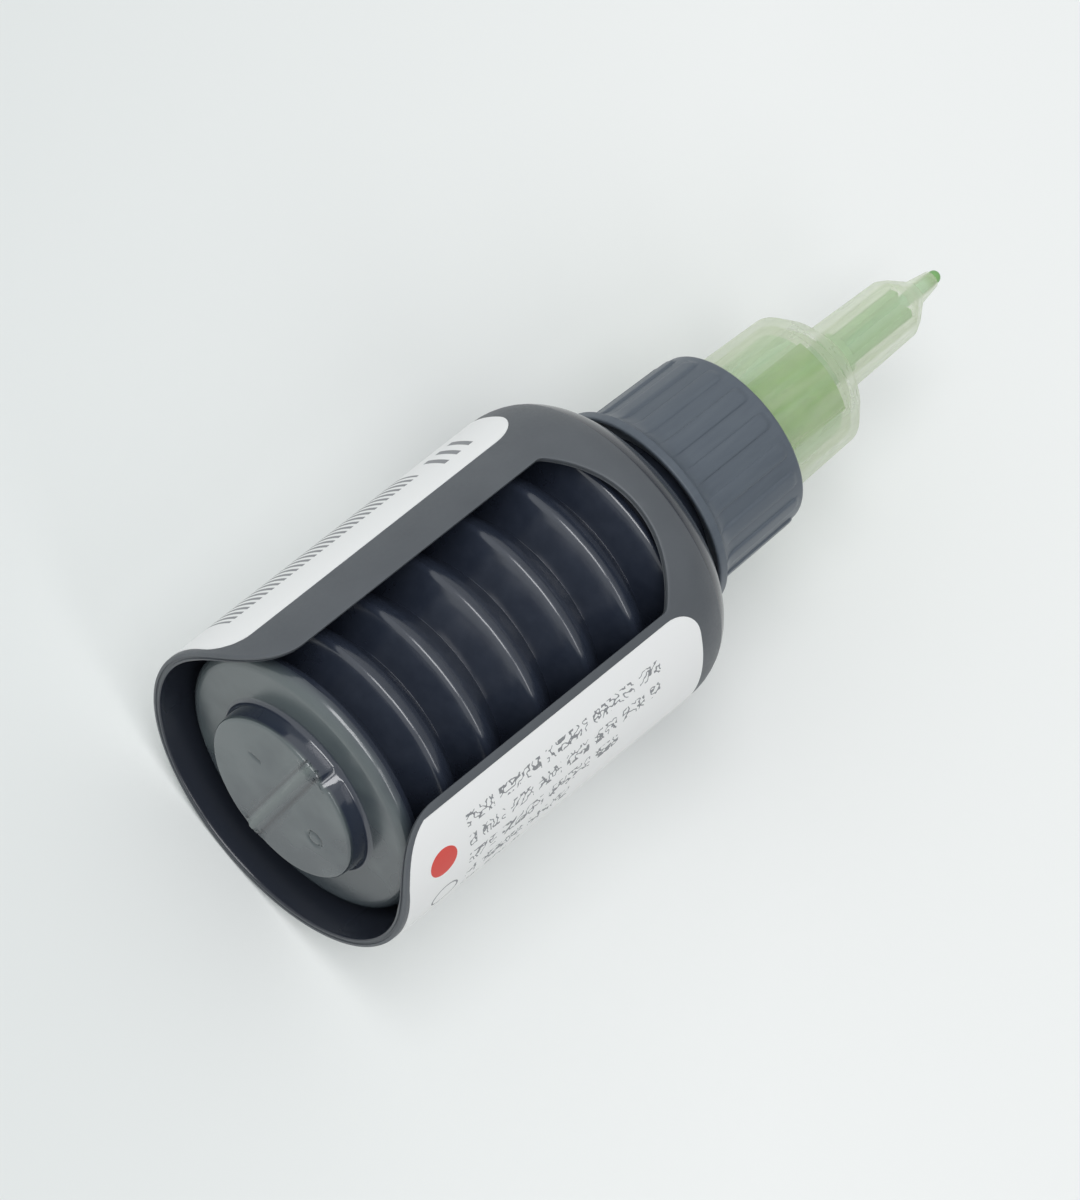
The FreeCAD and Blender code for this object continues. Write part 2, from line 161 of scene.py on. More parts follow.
def rounded(corners, steps=4):
    """A line through (place, radius, rounding) corners, with each corner rounded."""
    line = []
    for i, (s, radius, size) in enumerate(corners):
        here = Vector((s, radius))
        if not size:
            line.append(here)
            continue
        back = (Vector(corners[i - 1][:2]) - here).normalized()
        on = (Vector(corners[(i + 1) % len(corners)][:2]) - here).normalized()
        half = back.angle(on) / 2
        centre = here + (back + on).normalized() * (size / math.sin(half))
        first = here + back * (size / math.tan(half)) - centre
        last = here + on * (size / math.tan(half)) - centre
        start = math.atan2(first.y, first.x)
        turn = math.remainder(math.atan2(last.y, last.x) - start, math.tau)
        for k in range(steps + 1):
            angle = start + turn * k / steps
            line.append(centre + Vector((math.cos(angle), math.sin(angle))) * size)
    return line


valleys = [(a + FOLD_BAND + b) / 2 for a, b in zip(FOLD_BACKS, FOLD_BACKS[1:])]
corners = [(valleys[0], VALLEY_RADIUS, 0)]
for valley, back in zip(valleys, FOLD_BACKS[1:]):
    if valley != valleys[0]:
        corners.append((valley, VALLEY_RADIUS, VALLEY_ROUNDING))
    corners += fold_corners(back, FOLD_RADIUS)
corners[-1] = (SHOULDER_START, FOLD_RADIUS, 0)


def round_angles(count, fine_at=(), fine_steps=()):
    """Even angles round the axis, with extra ones beside each place in fine_at."""
    angles = {360 * k / count for k in range(count)}
    for place in fine_at:
        angles |= {(place + side * step) % 360 for step in fine_steps for side in (-1, 1)}
    return sorted(angles)


fold_angles = round_angles(ROUND_STEPS, PARTING_SIDES, PARTING_FINE)


def finer(line, step):
    """The same line with no stretch longer than step."""
    fine = [line[0]]
    for a, b in zip(line, line[1:]):
        parts = max(1, math.ceil((b - a).length / step))
        fine += [a.lerp(b, k / parts) for k in range(1, parts + 1)]
    return fine


def point(s, radius, degrees):
    """A place on the object, in metres. Angles count from the top towards the -Y side."""
    angle = math.radians(degrees)
    return Vector(((REAR_RIM_X + s) * MM, -radius * math.sin(angle) * MM,
                   (AXIS_HEIGHT + radius * math.cos(angle)) * MM))


def turned(line, angles, radius_at=None, closed=False):
    """The line swept round the axis. radius_at(s, radius, degrees) shapes it, and a point on
    the axis becomes one vertex. A closed line joins its end to its start."""
    vertices, rings = [], []
    for s, radius in line:
        if radius < 1e-6:
            rings.append([len(vertices)] * len(angles))
            vertices.append(point(s, 0, 0))
            continue
        rings.append(list(range(len(vertices), len(vertices) + len(angles))))
        for degrees in angles:
            r = radius_at(s, radius, degrees) if radius_at else radius
            vertices.append(point(s, r, degrees))
    pairs = list(zip(rings, rings[1:]))
    if closed:
        pairs.append((rings[-1], rings[0]))
    faces = []
    for a, b in pairs:
        for k in range(len(angles)):
            n = (k + 1) % len(angles)
            corners = [a[k], a[n], b[n], b[k]]
            faces.append([c for i, c in enumerate(corners) if c not in corners[:i]])
    return vertices, faces


def new_piece(name, vertices, faces, material, sharp_degrees=35):
    """An object with this mesh and material. Edges sharper than sharp_degrees stay crisp."""
    mesh = bpy.data.meshes.new(name)
    mesh.from_pydata([v[:] for v in vertices], [], faces)
    mesh.validate()
    mesh.shade_smooth()
    mesh.set_sharp_from_angle(angle=math.radians(sharp_degrees))
    mesh.materials.append(material)
    piece = bpy.data.objects.new(name, mesh)
    bpy.context.scene.collection.objects.link(piece)
    return piece


fold_line = finer(rounded(corners, 5), FOLD_LONGEST)
folds = new_piece("folds", *turned(fold_line, fold_angles, blown), bottle_plastic)
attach(folds, "bottle")
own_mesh(folds)
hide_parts("bellows")


# ==== Bottle: shoulder and neck ===============================================================
# The same blown wall goes on as a rounded shoulder, which seats inside the sleeve's front, and
# a neck that passes through it. The neck's bore takes the core's plug.
SHOULDER_ROUNDING = 6.0
SHOULDER_SEAT = 66.0
SEAT_RADIUS = 20.6
NECK_RADIUS = 12.0
NECK_BORE = 10.0
NECK_FRONT = 84.0
NECK_BORE_BACK = 70.0
SNAP_RING = (75.0, 76.8, 0.5)   # back, front and height of the ring that holds the collar

back, front, height = SNAP_RING
corners = [
    (SHOULDER_START, FOLD_RADIUS, 0),
    (SHOULDER_SEAT, SEAT_RADIUS, SHOULDER_ROUNDING),
    (SHOULDER_SEAT, NECK_RADIUS, 0.4),
    (back, NECK_RADIUS, 0), (back + height, NECK_RADIUS + height, 0.2),
    (front - height, NECK_RADIUS + height, 0.2), (front, NECK_RADIUS, 0),
    (NECK_FRONT, NECK_RADIUS, 0.3),
    (NECK_FRONT, NECK_BORE, 0.3),
    (NECK_BORE_BACK, NECK_BORE, 0),
    (NECK_BORE_BACK, 0, 0),
]
neck = new_piece("shoulder_and_neck", *turned(rounded(corners, 6), fold_angles, blown),
                 bottle_plastic)
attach(neck, "bottle")
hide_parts("bellows")


# ==== Bottle: end disc ========================================================================
# The rear fold is closed by a flat disc with a round boss. The blown tube was pinched shut
# across the boss, which leaves a broad seam with crumbs of flash at its two ends.
DISC_BACK = 3.9
DISC_CORNER = 1.7
BOSS_BACK = 0.6
BOSS_RADIUS = 13.4
BOSS_FACE_RADIUS = 13.05
BOSS_FOOT = 0.8                 # fillet where it stands on the disc
BOSS_EDGE = 0.4
DISC_LONGEST = 0.22             # longest step of the mesh, which has to carry the relief
SEAM_FINE = [0.35 * k for k in range(1, 22)]    # and its finer angles beside the seam
SCRAPE_PLACE = 11.5             # degrees round the boss to where the flash was scraped off
SCRAPE_WIDTH = 4.0
SCRAPE_LEAN = 0.27              # and how much the boss's side leans in there
CRUMBS = ((-7.5, 4.5, 11), (176.0, 184.0, 6))   # loose flash: from where to where, number
CRUMB_SIZES = (0.2, 0.48)
CRUMB_JAGS = (0.6, 1.1)         # how unevenly its corners stand out
CRUMB_DEPTHS = (0, 0.5)         # how far it sits below the edge of the boss's face,
CRUMB_STANDS = (-0.15, 0.07)    # and how far it stands out of the boss's side
CRUMB_SEED = 4
CRUMB_CORNERS = ((1, 0, 0), (0, 1, 0), (0, 0, 1), (-1, 0, 0), (0, -1, 0), (0, 0, -1))
CRUMB_FACES = ((0, 1, 2), (1, 3, 2), (3, 4, 2), (4, 0, 2),
               (1, 0, 5), (3, 1, 5), (4, 3, 5), (0, 4, 5))
SEAM_HEIGHT = 0.55
SEAM_WIDTH = 0.8
SEAM_LENGTH = 12.2              # from the centre to each end
SEAM_END = 0.22                 # how softly it ends
DIP_PLACE = 1.9                 # a shallow dip runs along either side of it
DIP_WIDTH = 0.5
DIP_DEPTH = 0.2
FLASH_HEIGHT = 0.5              # the ragged flash at its ends
FLASH_WIDTH = 1.5
FLASH_LENGTH = 0.95
FLASH_GRAIN = 2.2
MARK_DEPTH = 0.3                # moulded marks: a ring and a short bar
MARK_LINE = 0.18
RING_MARK = (-7.0, 0.5, 1.2)    # sideways, upwards, radius
BAR_MARK = (6.4, 2.2, 1.1)      # sideways, upwards, half length
BAR_LEAN = (0.94, 0.34)         # cosine and sine of the bar's slant
CROWN_HEIGHT = 0.15             # the boss's face is slightly crowned
SINK_DEPTH = 0.2                # and sunk unevenly as it cooled
SINK_SIZE = 8.0

DISC_SLATE = "#3e464b"
DISC_SLATE_LIGHT = "#535c5e"
SEAM_REACH = 2.1                # tones across the seam: painted shade in the dips at its feet, a painted highlight on its +Y side
SEAM_SHADE_AND_HIGHLIGHT = ((0.06, BOTTLE_SHADE, 0), (0.18, BOTTLE_SHADE, 1), (0.28, DISC_SLATE, 1),
              (0.6, "#5c6665", 1), (0.74, DISC_SLATE_LIGHT, 1), (0.82, BOTTLE_SHADE, 0.8),
              (0.92, BOTTLE_SHADE, 0))
DISC_TONES = ((0.6, DISC_SLATE), (1.0, DISC_SLATE_LIGHT))
SCUFF_SIZE = 1.3
CLOUD_SIZE = 7.0                # size of the cloudy patches where it is rubbed
CLOUD_RELIEF = 0.05
PAINTED_LIGHT_SLOPE = 12               # painted light: it grows paler upwards and towards +Y, by this much a metre

disc_corners = [
    (BOSS_BACK, 0, 0),
    (BOSS_BACK, BOSS_FACE_RADIUS, BOSS_EDGE),
    (DISC_BACK, BOSS_RADIUS, BOSS_FOOT),
    (DISC_BACK, FOLD_RADIUS, DISC_CORNER),
    *fold_corners(FOLD_BACKS[0], FOLD_RADIUS)[3:],
    (valleys[0], VALLEY_RADIUS, 0),
]


def bell(x):
    """A smooth hump, 1 high at 0 and nearly gone beyond 2."""
    return math.exp(-x * x)


def boss_relief(y, z):
    """How far the seam, its flash and the marks stand out of the boss's face."""
    inside = 1 / (1 + math.exp((abs(z) - SEAM_LENGTH) / SEAM_END))
    uneven = 1 + 0.3 * noise.noise(Vector((0.3, z * 0.25, 1.7)))
    seam = SEAM_HEIGHT * bell(y / SEAM_WIDTH) * inside * uneven
    dips = DIP_DEPTH * bell((abs(y) - DIP_PLACE) / DIP_WIDTH) * inside
    at_end = bell(y / FLASH_WIDTH) * bell((abs(z) - SEAM_LENGTH + 0.3) / FLASH_LENGTH)
    ragged = noise.noise(Vector((y * FLASH_GRAIN, z * FLASH_GRAIN, 4.2)))
    flash = FLASH_HEIGHT * at_end * (max(0.0, ragged + 0.1) * 2)
    side, up, size = RING_MARK
    ring = MARK_DEPTH * bell((math.hypot(y - side, z - up) - size) / MARK_LINE)
    side, up, size = BAR_MARK
    cosine, sine = BAR_LEAN
    along = (y - side) * cosine - (z - up) * sine
    across = (y - side) * sine + (z - up) * cosine
    bar = MARK_DEPTH * bell(across / MARK_LINE) / (1 + math.exp((abs(along) - size) / 0.08))
    crown = CROWN_HEIGHT * (1 - (math.hypot(y, z) / BOSS_FACE_RADIUS) ** 2)
    crown += SINK_DEPTH * noise.noise(Vector((y / SINK_SIZE, z / SINK_SIZE, 2.4)))
    return min(seam - dips + flash - ring - bar + crown, BOSS_BACK - 0.05)


def boss_side(s, radius, degrees):
    """The blown wall of the end, leaning in where the flash was scraped off the boss."""
    aside = (math.remainder(degrees, 360) - SCRAPE_PLACE) / SCRAPE_WIDTH
    lean = SCRAPE_LEAN * bell(aside ** 2)
    on_boss = BOSS_FACE_RADIUS - 1 < radius < BOSS_RADIUS + 0.1
    return blown(s, radius, degrees) - on_boss * lean * max(DISC_BACK - s, 0)


def axis_distance(material, place):
    """The distance of a shaded place from the object's long axis."""
    from_axis = add(material, "VectorMath", {
        0: place, 1: (0, 0, -AXIS_HEIGHT * MM)}, operation="ADD")
    sideways = add(material, "VectorMath", {
        0: from_axis.outputs["Vector"], 1: (0, 1, 1)}, operation="MULTIPLY")
    length = add(material, "VectorMath", {0: sideways.outputs["Vector"]}, operation="LENGTH")
    return length.outputs["Value"]


disc_line = finer(rounded(disc_corners, 6), DISC_LONGEST)
seam_angles = round_angles(ROUND_STEPS, PARTING_SIDES, SEAM_FINE)
vertices, faces = turned(disc_line, seam_angles, boss_side)
for vertex in vertices:
    y, z = vertex.y / MM, vertex.z / MM - AXIS_HEIGHT
    down = (vertex.x / MM - REAR_RIM_X - BOSS_BACK) / BOSS_EDGE
    if down < 1 and math.hypot(y, z) < BOSS_RADIUS:
        vertex.x -= boss_relief(y, z) * (1 - max(down, 0)) * MM
random.seed(CRUMB_SEED)
for start, end, count in CRUMBS:
    for _ in range(count):
        size = random.uniform(*CRUMB_SIZES)
        middle = point(BOSS_BACK + size + random.uniform(*CRUMB_DEPTHS),
                       BOSS_FACE_RADIUS + random.uniform(*CRUMB_STANDS),
                       random.uniform(start, end))
        first = len(vertices)
        for side in CRUMB_CORNERS:
            reach = size * random.uniform(*CRUMB_JAGS) * MM
            vertices.append(middle + Vector(side) * reach)
        faces += [[first + corner for corner in face] for face in CRUMB_FACES]

# The same blown polyethylene, rubbed paler and greyer in cloudy patches where it is handled and
# stood on, and painted with light that makes it paler upwards and towards +Y.
disc_plastic = new_material("rubbed slate polyethylene")
place = add(disc_plastic, "TexCoord", {}).outputs["Object"]
scuffs = add(disc_plastic, "TexNoise", {
    "Vector": place, "Scale": 1 / (SCUFF_SIZE * MM), "Detail": 5.0, "Roughness": 0.65})
clouds = add(disc_plastic, "TexNoise", {
    "Vector": place, "Scale": 1 / (CLOUD_SIZE * MM), "Detail": 2.0})
# Painted light: the tone grows paler upwards and towards +Y, on top of the rubbed cloudy
# patches.
painted_light_rise = add(disc_plastic, "VectorMath", {
    0: place, 1: (0, PAINTED_LIGHT_SLOPE, PAINTED_LIGHT_SLOPE)}, operation="DOT_PRODUCT")
wear_and_painted_light = add(disc_plastic, "Math", {
    0: painted_light_rise.outputs["Value"], 1: clouds.outputs["Fac"]}, operation="ADD")
rubbed_and_painted_light = add(disc_plastic, "ValToRGB", {"Fac": wear_and_painted_light.outputs["Value"]})
for stop, (position, colour) in zip(rubbed_and_painted_light.color_ramp.elements, DISC_TONES):
    stop.position, stop.color = position, linear(colour)
along = add(disc_plastic, "SeparateXYZ", {"Vector": place})
behind = add(disc_plastic, "MapRange", {
    "Value": along.outputs["X"], "From Min": (REAR_RIM_X + DISC_BACK + 0.4) * MM,
    "From Max": (REAR_RIM_X + DISC_BACK + DISC_CORNER + 0.6) * MM})
on_side = add(disc_plastic, "MapRange", {
    "Value": along.outputs["X"], "From Min": (REAR_RIM_X + BOSS_BACK + 0.3) * MM,
    "From Max": (REAR_RIM_X + BOSS_BACK + 0.8) * MM})
by_boss = add(disc_plastic, "MapRange", {
    "Value": axis_distance(disc_plastic, place), "From Min": (BOSS_RADIUS + 0.3) * MM,
    "From Max": (BOSS_RADIUS + 0.9) * MM, "To Min": 1.0, "To Max": 0.0})
shaded = add(disc_plastic, "Math", {
    0: on_side.outputs["Result"], 1: by_boss.outputs["Result"]}, operation="MULTIPLY")
unrubbed = add(disc_plastic, "Math", {
    0: shaded.outputs["Value"], 1: behind.outputs["Result"]}, operation="MAXIMUM")
# Painted shade in the dips along both feet of the seam, and a painted highlight on its +Y side.
across = add(disc_plastic, "MapRange", {
    "Value": along.outputs["Y"], "From Min": -SEAM_REACH * MM, "From Max": SEAM_REACH * MM})
painted_seam_tone = add(disc_plastic, "ValToRGB", {"Fac": across.outputs["Result"]})
for position, colour, share in SEAM_SHADE_AND_HIGHLIGHT:
    stop = painted_seam_tone.color_ramp.elements.new(position)
    stop.color = linear(colour)[:3] + [share]
painted_seam_tone.color_ramp.elements[0].color = (0, 0, 0, 0)
painted_seam_tone.color_ramp.elements[-1].color = (0, 0, 0, 0)
on_face = add(disc_plastic, "Math", {
    0: 1.0, 1: on_side.outputs["Result"]}, operation="SUBTRACT")
painted_seam_share = add(disc_plastic, "Math", {
    0: painted_seam_tone.outputs["Alpha"], 1: on_face.outputs["Value"]}, operation="MULTIPLY")
with_painted_seam = add(disc_plastic, "Mix", {
    "Factor": painted_seam_share.outputs["Value"], 6: rubbed_and_painted_light.outputs["Color"],
    7: painted_seam_tone.outputs["Color"]}, data_type="RGBA")
tone = add(disc_plastic, "Mix", {
    "Factor": unrubbed.outputs["Value"], 6: with_painted_seam.outputs[2], 7: linear(BOTTLE_LIGHT)},
    data_type="RGBA")
worn = add(disc_plastic, "MapRange", {
    "Value": scuffs.outputs["Fac"], "From Min": 0.3, "From Max": 0.7,
    "To Min": 0.22, "To Max": 0.26})
gloss = add(disc_plastic, "Mix", {
    "Factor": unrubbed.outputs["Value"], "A": worn.outputs["Result"], "B": 0.12})
skin = add(disc_plastic, "Bump", {
    "Height": clouds.outputs["Fac"], "Strength": 0.3, "Distance": CLOUD_RELIEF * MM})
shader = add(disc_plastic, "BsdfPrincipled", {
    "Base Color": tone.outputs[2], "Roughness": gloss.outputs["Result"],
    "IOR": 1.54, "Specular IOR Level": 0.9, "Normal": skin.outputs["Normal"]})
add(disc_plastic, "OutputMaterial", {"Surface": shader.outputs["BSDF"]})
end_disc = new_piece("end_disc_and_first_fold", vertices, faces, disc_plastic)
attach(end_disc, "end_disc")
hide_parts("bellows_end")


# ==== Grip sleeve =============================================================================
# A stiff tube is slid over the bottle from the rear and stops on its shoulder. It is moulded
# from grey polypropylene with a matt, finely eroded skin, and the thumb works through its
# window.
SLEEVE_RADIUS = 24.0
SLEEVE_BORE = 22.6
SLEEVE_FRONT = 67.4
SLEEVE_ROUNDING = 9.2
NECK_HOLE = 12.3
EDGE_ROUNDING = 0.3             # of the rim, the window's edge and the neck's hole
UNDERSIDE = 0.06                # the label keeps the sleeve this far off the table
WINDOW_HALF = 13.4
WINDOW_FRONT = 58.0
WINDOW_FRONT_ARC = 21.5
WINDOW_CORNER = 1.2
WINDOW_REAR_CORNER = 8.5
EDGE_STEP = 0.7
SKIN_STEPS = 150                # steps of the mesh round the sleeve,
CORNER_STEPS = 5                # round the corners of the window,
SHOULDER_STEPS = 14             # over the shoulder
END_STEPS = 3                   # and across the flat end
EVEN_SHARE = 1 / 6              # share of the way round in which its rows grow even
RIM_LINE_DEPTH = 0.18           # a shallow channel round the rim's face,
RIM_LINE_PLACES = (0.36, 0.39, 0.66, 0.69)      # and where its sides are in the wall
WELD = 0.01                     # corners closer than this are one

SLEEVE_GREY = "#52565b"
SLEEVE_GREY_LIGHT = "#595d62"
# Painted shade: the darker colour of the sleeve's bore.
SLEEVE_BORE_SHADE = "#2a2e37"
SLEEVE_TONES = ((0.3, SLEEVE_GREY), (0.7, SLEEVE_GREY_LIGHT))
SPARK_GRAIN = 0.5
SLEEVE_FLOW = 9.0               # size of the faint clouds in its colour

shoulder_start = SLEEVE_FRONT - SLEEVE_ROUNDING
seat = SLEEVE_RADIUS - SLEEVE_ROUNDING


def window_outline(step):
    """Half of the window's edge, from the rim to the middle of its front. Each point is
    (place, sideways) with the direction into the wall."""
    line = []
    rear_y = WINDOW_HALF + WINDOW_REAR_CORNER
    steps = math.ceil(WINDOW_REAR_CORNER * math.pi / 2 / step)
    for k in range(steps + 1):
        turn = math.pi / 2 * k / steps
        inwards = Vector((math.cos(turn), math.sin(turn)))
        line.append((Vector((WINDOW_REAR_CORNER, rear_y)) - inwards * WINDOW_REAR_CORNER,
                     inwards))
    centre = WINDOW_FRONT - WINDOW_FRONT_ARC
    reach, side = WINDOW_FRONT_ARC - WINDOW_CORNER, WINDOW_HALF - WINDOW_CORNER
    corner = Vector((centre + math.sqrt(reach ** 2 - side ** 2), side))
    steps = math.ceil((corner.x - WINDOW_REAR_CORNER) / step)
    for k in range(1, steps + 1):
        s = WINDOW_REAR_CORNER + (corner.x - WINDOW_REAR_CORNER) * k / steps
        line.append((Vector((s, WINDOW_HALF)), Vector((0, 1))))
    lean = math.atan2(side, corner.x - centre)
    for k in range(1, CORNER_STEPS + 1):
        turn = math.pi / 2 + (lean - math.pi / 2) * k / CORNER_STEPS
        inwards = Vector((math.cos(turn), math.sin(turn)))
        line.append((corner + inwards * WINDOW_CORNER, inwards))
    steps = math.ceil(WINDOW_FRONT_ARC * lean / step)
    for k in range(1, steps + 1):
        turn = lean * (1 - k / steps)
        inwards = Vector((math.cos(turn), math.sin(turn)))
        line.append((Vector((centre, 0)) + inwards * WINDOW_FRONT_ARC, inwards))
    return line


def sleeve_place(along, radius, rounding, degrees):
    """A place on a skin of the sleeve. Beyond the tube, along counts round its shoulder."""
    turn = max(along - shoulder_start, 0) / rounding
    if turn <= math.pi / 2:
        s = min(along, shoulder_start) + rounding * math.sin(turn)
        radius += rounding * (math.cos(turn) - 1)
    else:
        s = shoulder_start + rounding
        radius -= rounding + (turn - math.pi / 2) * rounding
    here = point(s, radius, degrees)
    here.z = max(here.z, UNDERSIDE * MM)
    return here


edge = window_outline(EDGE_STEP)
last_row = len(edge) - 1


def edge_place(row, share, radius, inwards):
    """(place, degrees) beside the free edge: along the rim in row 0, else beside the window."""
    at, direction = edge[row]
    side = min(at.y + direction.y * inwards, radius)
    opening = math.degrees(math.asin(side / radius))
    return at.x + direction.x * inwards, opening + share * (360 - 2 * opening)


def sleeve_skin(radius, rounding, hole):
    """Rows of places over one skin, from the rim to the hole, fitted to the window's edge."""
    rows = []
    for row in range(last_row + 1):
        start, _ = edge_place(row, 0, radius, EDGE_ROUNDING)
        even = EDGE_ROUNDING + (shoulder_start - EDGE_ROUNDING) * row / last_row
        places = []
        for k in range(SKIN_STEPS + 1):
            share = k / SKIN_STEPS
            _, degrees = edge_place(row, share, radius, EDGE_ROUNDING)
            away = min(min(share, 1 - share) / EVEN_SHARE, 1)
            away = away * away * (3 - 2 * away)
            places.append((start + (even - start) * away, degrees))
        rows.append(places)
    quarter = shoulder_start + rounding * math.pi / 2
    for k in range(1, SHOULDER_STEPS + 1):
        rows.append([(a + (quarter - a) * k / SHOULDER_STEPS, d) for a, d in rows[last_row]])
    for k in range(1, END_STEPS + 1):
        flat = (seat - hole - EDGE_ROUNDING) * k / END_STEPS
        rows.append([(quarter + flat, d) for _, d in rows[last_row]])
    return [[sleeve_place(a, radius, rounding, d) for a, d in row] for row in rows]


def hole_row(s, radius):
    """One row of places round the neck's hole."""
    return [point(s, radius, 360 * k / SKIN_STEPS) for k in range(SKIN_STEPS + 1)]


inner_rounding = SLEEVE_ROUNDING - (SLEEVE_RADIUS - SLEEVE_BORE)
web = SLEEVE_FRONT - (SLEEVE_RADIUS - SLEEVE_BORE)
soft = EDGE_ROUNDING * (1 - math.sqrt(0.5))
outer_rows = sleeve_skin(SLEEVE_RADIUS, SLEEVE_ROUNDING, NECK_HOLE)
inner_rows = sleeve_skin(SLEEVE_BORE, inner_rounding, NECK_HOLE)
rows = outer_rows + [
    hole_row(SLEEVE_FRONT - soft, NECK_HOLE + soft),
    hole_row(SLEEVE_FRONT - EDGE_ROUNDING, NECK_HOLE),
    hole_row(web + EDGE_ROUNDING, NECK_HOLE), hole_row(web + soft, NECK_HOLE + soft),
] + inner_rows[::-1]
vertices = [place for row in rows for place in row]
wide = SKIN_STEPS + 1
faces = []
for row in range(len(rows) - 1):
    for k in range(SKIN_STEPS):
        a = row * wide + k
        faces.append((a, a + 1, a + wide + 1, a + wide))


def free_edge(first):
    """The places of the free edge in a skin whose row 0 and further rows are given."""
    loop = [first(0, k) for k in range(wide)]
    loop += [first(row, SKIN_STEPS) for row in range(1, last_row)]
    return loop + [first(row, 0) for row in range(last_row, 0, -1)]


final_row = len(rows) - 1
outer_loop = free_edge(lambda row, k: row * wide + k)
inner_loop = free_edge(lambda row, k: (final_row - row) * wide + k)
loops = [outer_loop]
wall = SLEEVE_RADIUS - SLEEVE_BORE
line_out, line_top, line_foot, line_in = [wall * share for share in RIM_LINE_PLACES]
ring_rows = [(soft, soft), (0, EDGE_ROUNDING),
             (0, line_out), (RIM_LINE_DEPTH, line_top),
             (RIM_LINE_DEPTH, line_foot), (0, line_in),
             (0, wall - EDGE_ROUNDING), (soft, wall - soft)]
for inwards, depth in ring_rows:
    radius = SLEEVE_RADIUS - depth

    def place_ring(row, k):
        s, degrees = edge_place(row, k / SKIN_STEPS, radius, inwards)
        vertices.append(sleeve_place(s, radius, SLEEVE_ROUNDING, degrees))
        return len(vertices) - 1

    loops.append(free_edge(place_ring))
loops.append(inner_loop)
for a, b in zip(loops, loops[1:]):
    for k in range(len(a)):
        n = (k + 1) % len(a)
        faces.append((a[n], a[k], b[k], b[n]))

# Spark-eroded polypropylene: matt, with a fine even grain that breaks up the light. Its bore
# was moulded on a polished core, so it is glossy, and it is darkened with painted shade.
sleeve_plastic = new_material("eroded grey polypropylene")
place = add(sleeve_plastic, "TexCoord", {}).outputs["Object"]
grain = add(sleeve_plastic, "TexNoise", {
    "Vector": place, "Scale": 1 / (SPARK_GRAIN * MM), "Detail": 3.0, "Roughness": 0.6})
flow = add(sleeve_plastic, "TexNoise", {
    "Vector": place, "Scale": 1 / (SLEEVE_FLOW * MM), "Detail": 3.0})
tone = add(sleeve_plastic, "ValToRGB", {"Fac": flow.outputs["Fac"]})
for stop, (position, colour) in zip(tone.color_ramp.elements, SLEEVE_TONES):
    stop.position, stop.color = position, linear(colour)
eroded = add(sleeve_plastic, "MapRange", {
    "Value": axis_distance(sleeve_plastic, place),
    "From Min": (SLEEVE_BORE + 0.2) * MM, "From Max": (SLEEVE_BORE + 0.4) * MM})
# Painted shade: the bore takes a darker colour than the eroded outside.
bore = add(sleeve_plastic, "Mix", {
    "Factor": eroded.outputs["Result"], 6: linear(SLEEVE_BORE_SHADE), 7: tone.outputs["Color"]},
    data_type="RGBA")
matt = add(sleeve_plastic, "MapRange", {
    "Value": grain.outputs["Fac"], "From Min": 0.3, "From Max": 0.7,
    "To Min": 0.44, "To Max": 0.54})
gloss = add(sleeve_plastic, "MapRange", {
    "Value": eroded.outputs["Result"], "To Min": 0.18, "To Max": matt.outputs["Result"]})
skin = add(sleeve_plastic, "Bump", {
    "Height": grain.outputs["Fac"], "Strength": 0.35, "Distance": 0.02 * MM})
shader = add(sleeve_plastic, "BsdfPrincipled", {
    "Base Color": bore.outputs[2], "Roughness": gloss.outputs["Result"],
    "IOR": 1.49, "Normal": skin.outputs["Normal"]})
add(sleeve_plastic, "OutputMaterial", {"Surface": shader.outputs["BSDF"]})

sleeve = new_piece("grip_sleeve", vertices, faces, sleeve_plastic)
mesh = bmesh.new()
mesh.from_mesh(sleeve.data)
bmesh.ops.remove_doubles(mesh, verts=mesh.verts, dist=WELD * MM)
bmesh.ops.recalc_face_normals(mesh, faces=mesh.faces)
mesh.to_mesh(sleeve.data)
mesh.free()
sleeve.data.set_sharp_from_angle(angle=math.radians(40))
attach(sleeve, "bottle")
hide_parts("sleeve")


# ==== Label ===================================================================================
# A printed film label is wrapped round the sleeve from one side of the window to the other,
# and stuck down. It is matt and pale, with lines of strokes that spell nothing, plain stripes
# and bars, a red dot and a ring.
LABEL_RADIUS = 24.06
LABEL_REAR = 0.9
LABEL_FRONT = 57.6
LABEL_START = 37.6              # its edges beside the window, in degrees
LABEL_END = 307.6
LABEL_CORNER = 5.0
LABEL_BESIDE_WINDOW = 0.8
LABEL_SINK = 0.02               # its edges go this far into the sleeve, so no gap shows
LABEL_COLUMNS = 170
CORNER_ROWS = 10
MIDDLE_ROWS = 26

LABEL_PALE = "#efefef"
LABEL_PRINT = "#66696e"
LABEL_RED = "#d8453c"
INK_SHARE = 0.85                # how much the grey ink covers
PRINT_PITCH = 3.84              # from one line of strokes to the next
WORD_LENGTH = 9.0
WORD_GAP = 1.1
CURL_SCALE = 0.8                # of the wavy lines that the strokes are cut from
STROKE_WIDTH = 0.045            # as a share of the waves' height
STRIPE_PITCH = 1.15
BAR_PITCH = 2.3
PRINT_FIELDS = (                # pattern, back, front, and from where to where round the label
    ("letters", 12.3, 49.6, 19.8, 22.0),
    ("letters", 12.3, 49.6, 23.64, 25.84),
    ("letters", 12.3, 41.0, 27.48, 29.68),
    ("letters", 12.3, 32.0, 31.32, 33.52),
    ("letters", 12.3, 23.5, 35.16, 37.36),
    ("stripes", 7.0, 43.0, -47.0, -28.5),
    ("bars", 46.0, 52.9, -31.5, -26.0))
DOT_PLACE = (7.4, 24.6, 0)      # a red dot, and a thin ring below it
DOT_RADIUS = 2.5
RING_PLACE = (8.4, 33.4, 0)
RING_RADIUS = 2.3
RING_LINE = 0.16
FIBRE_SIZE = 1.2


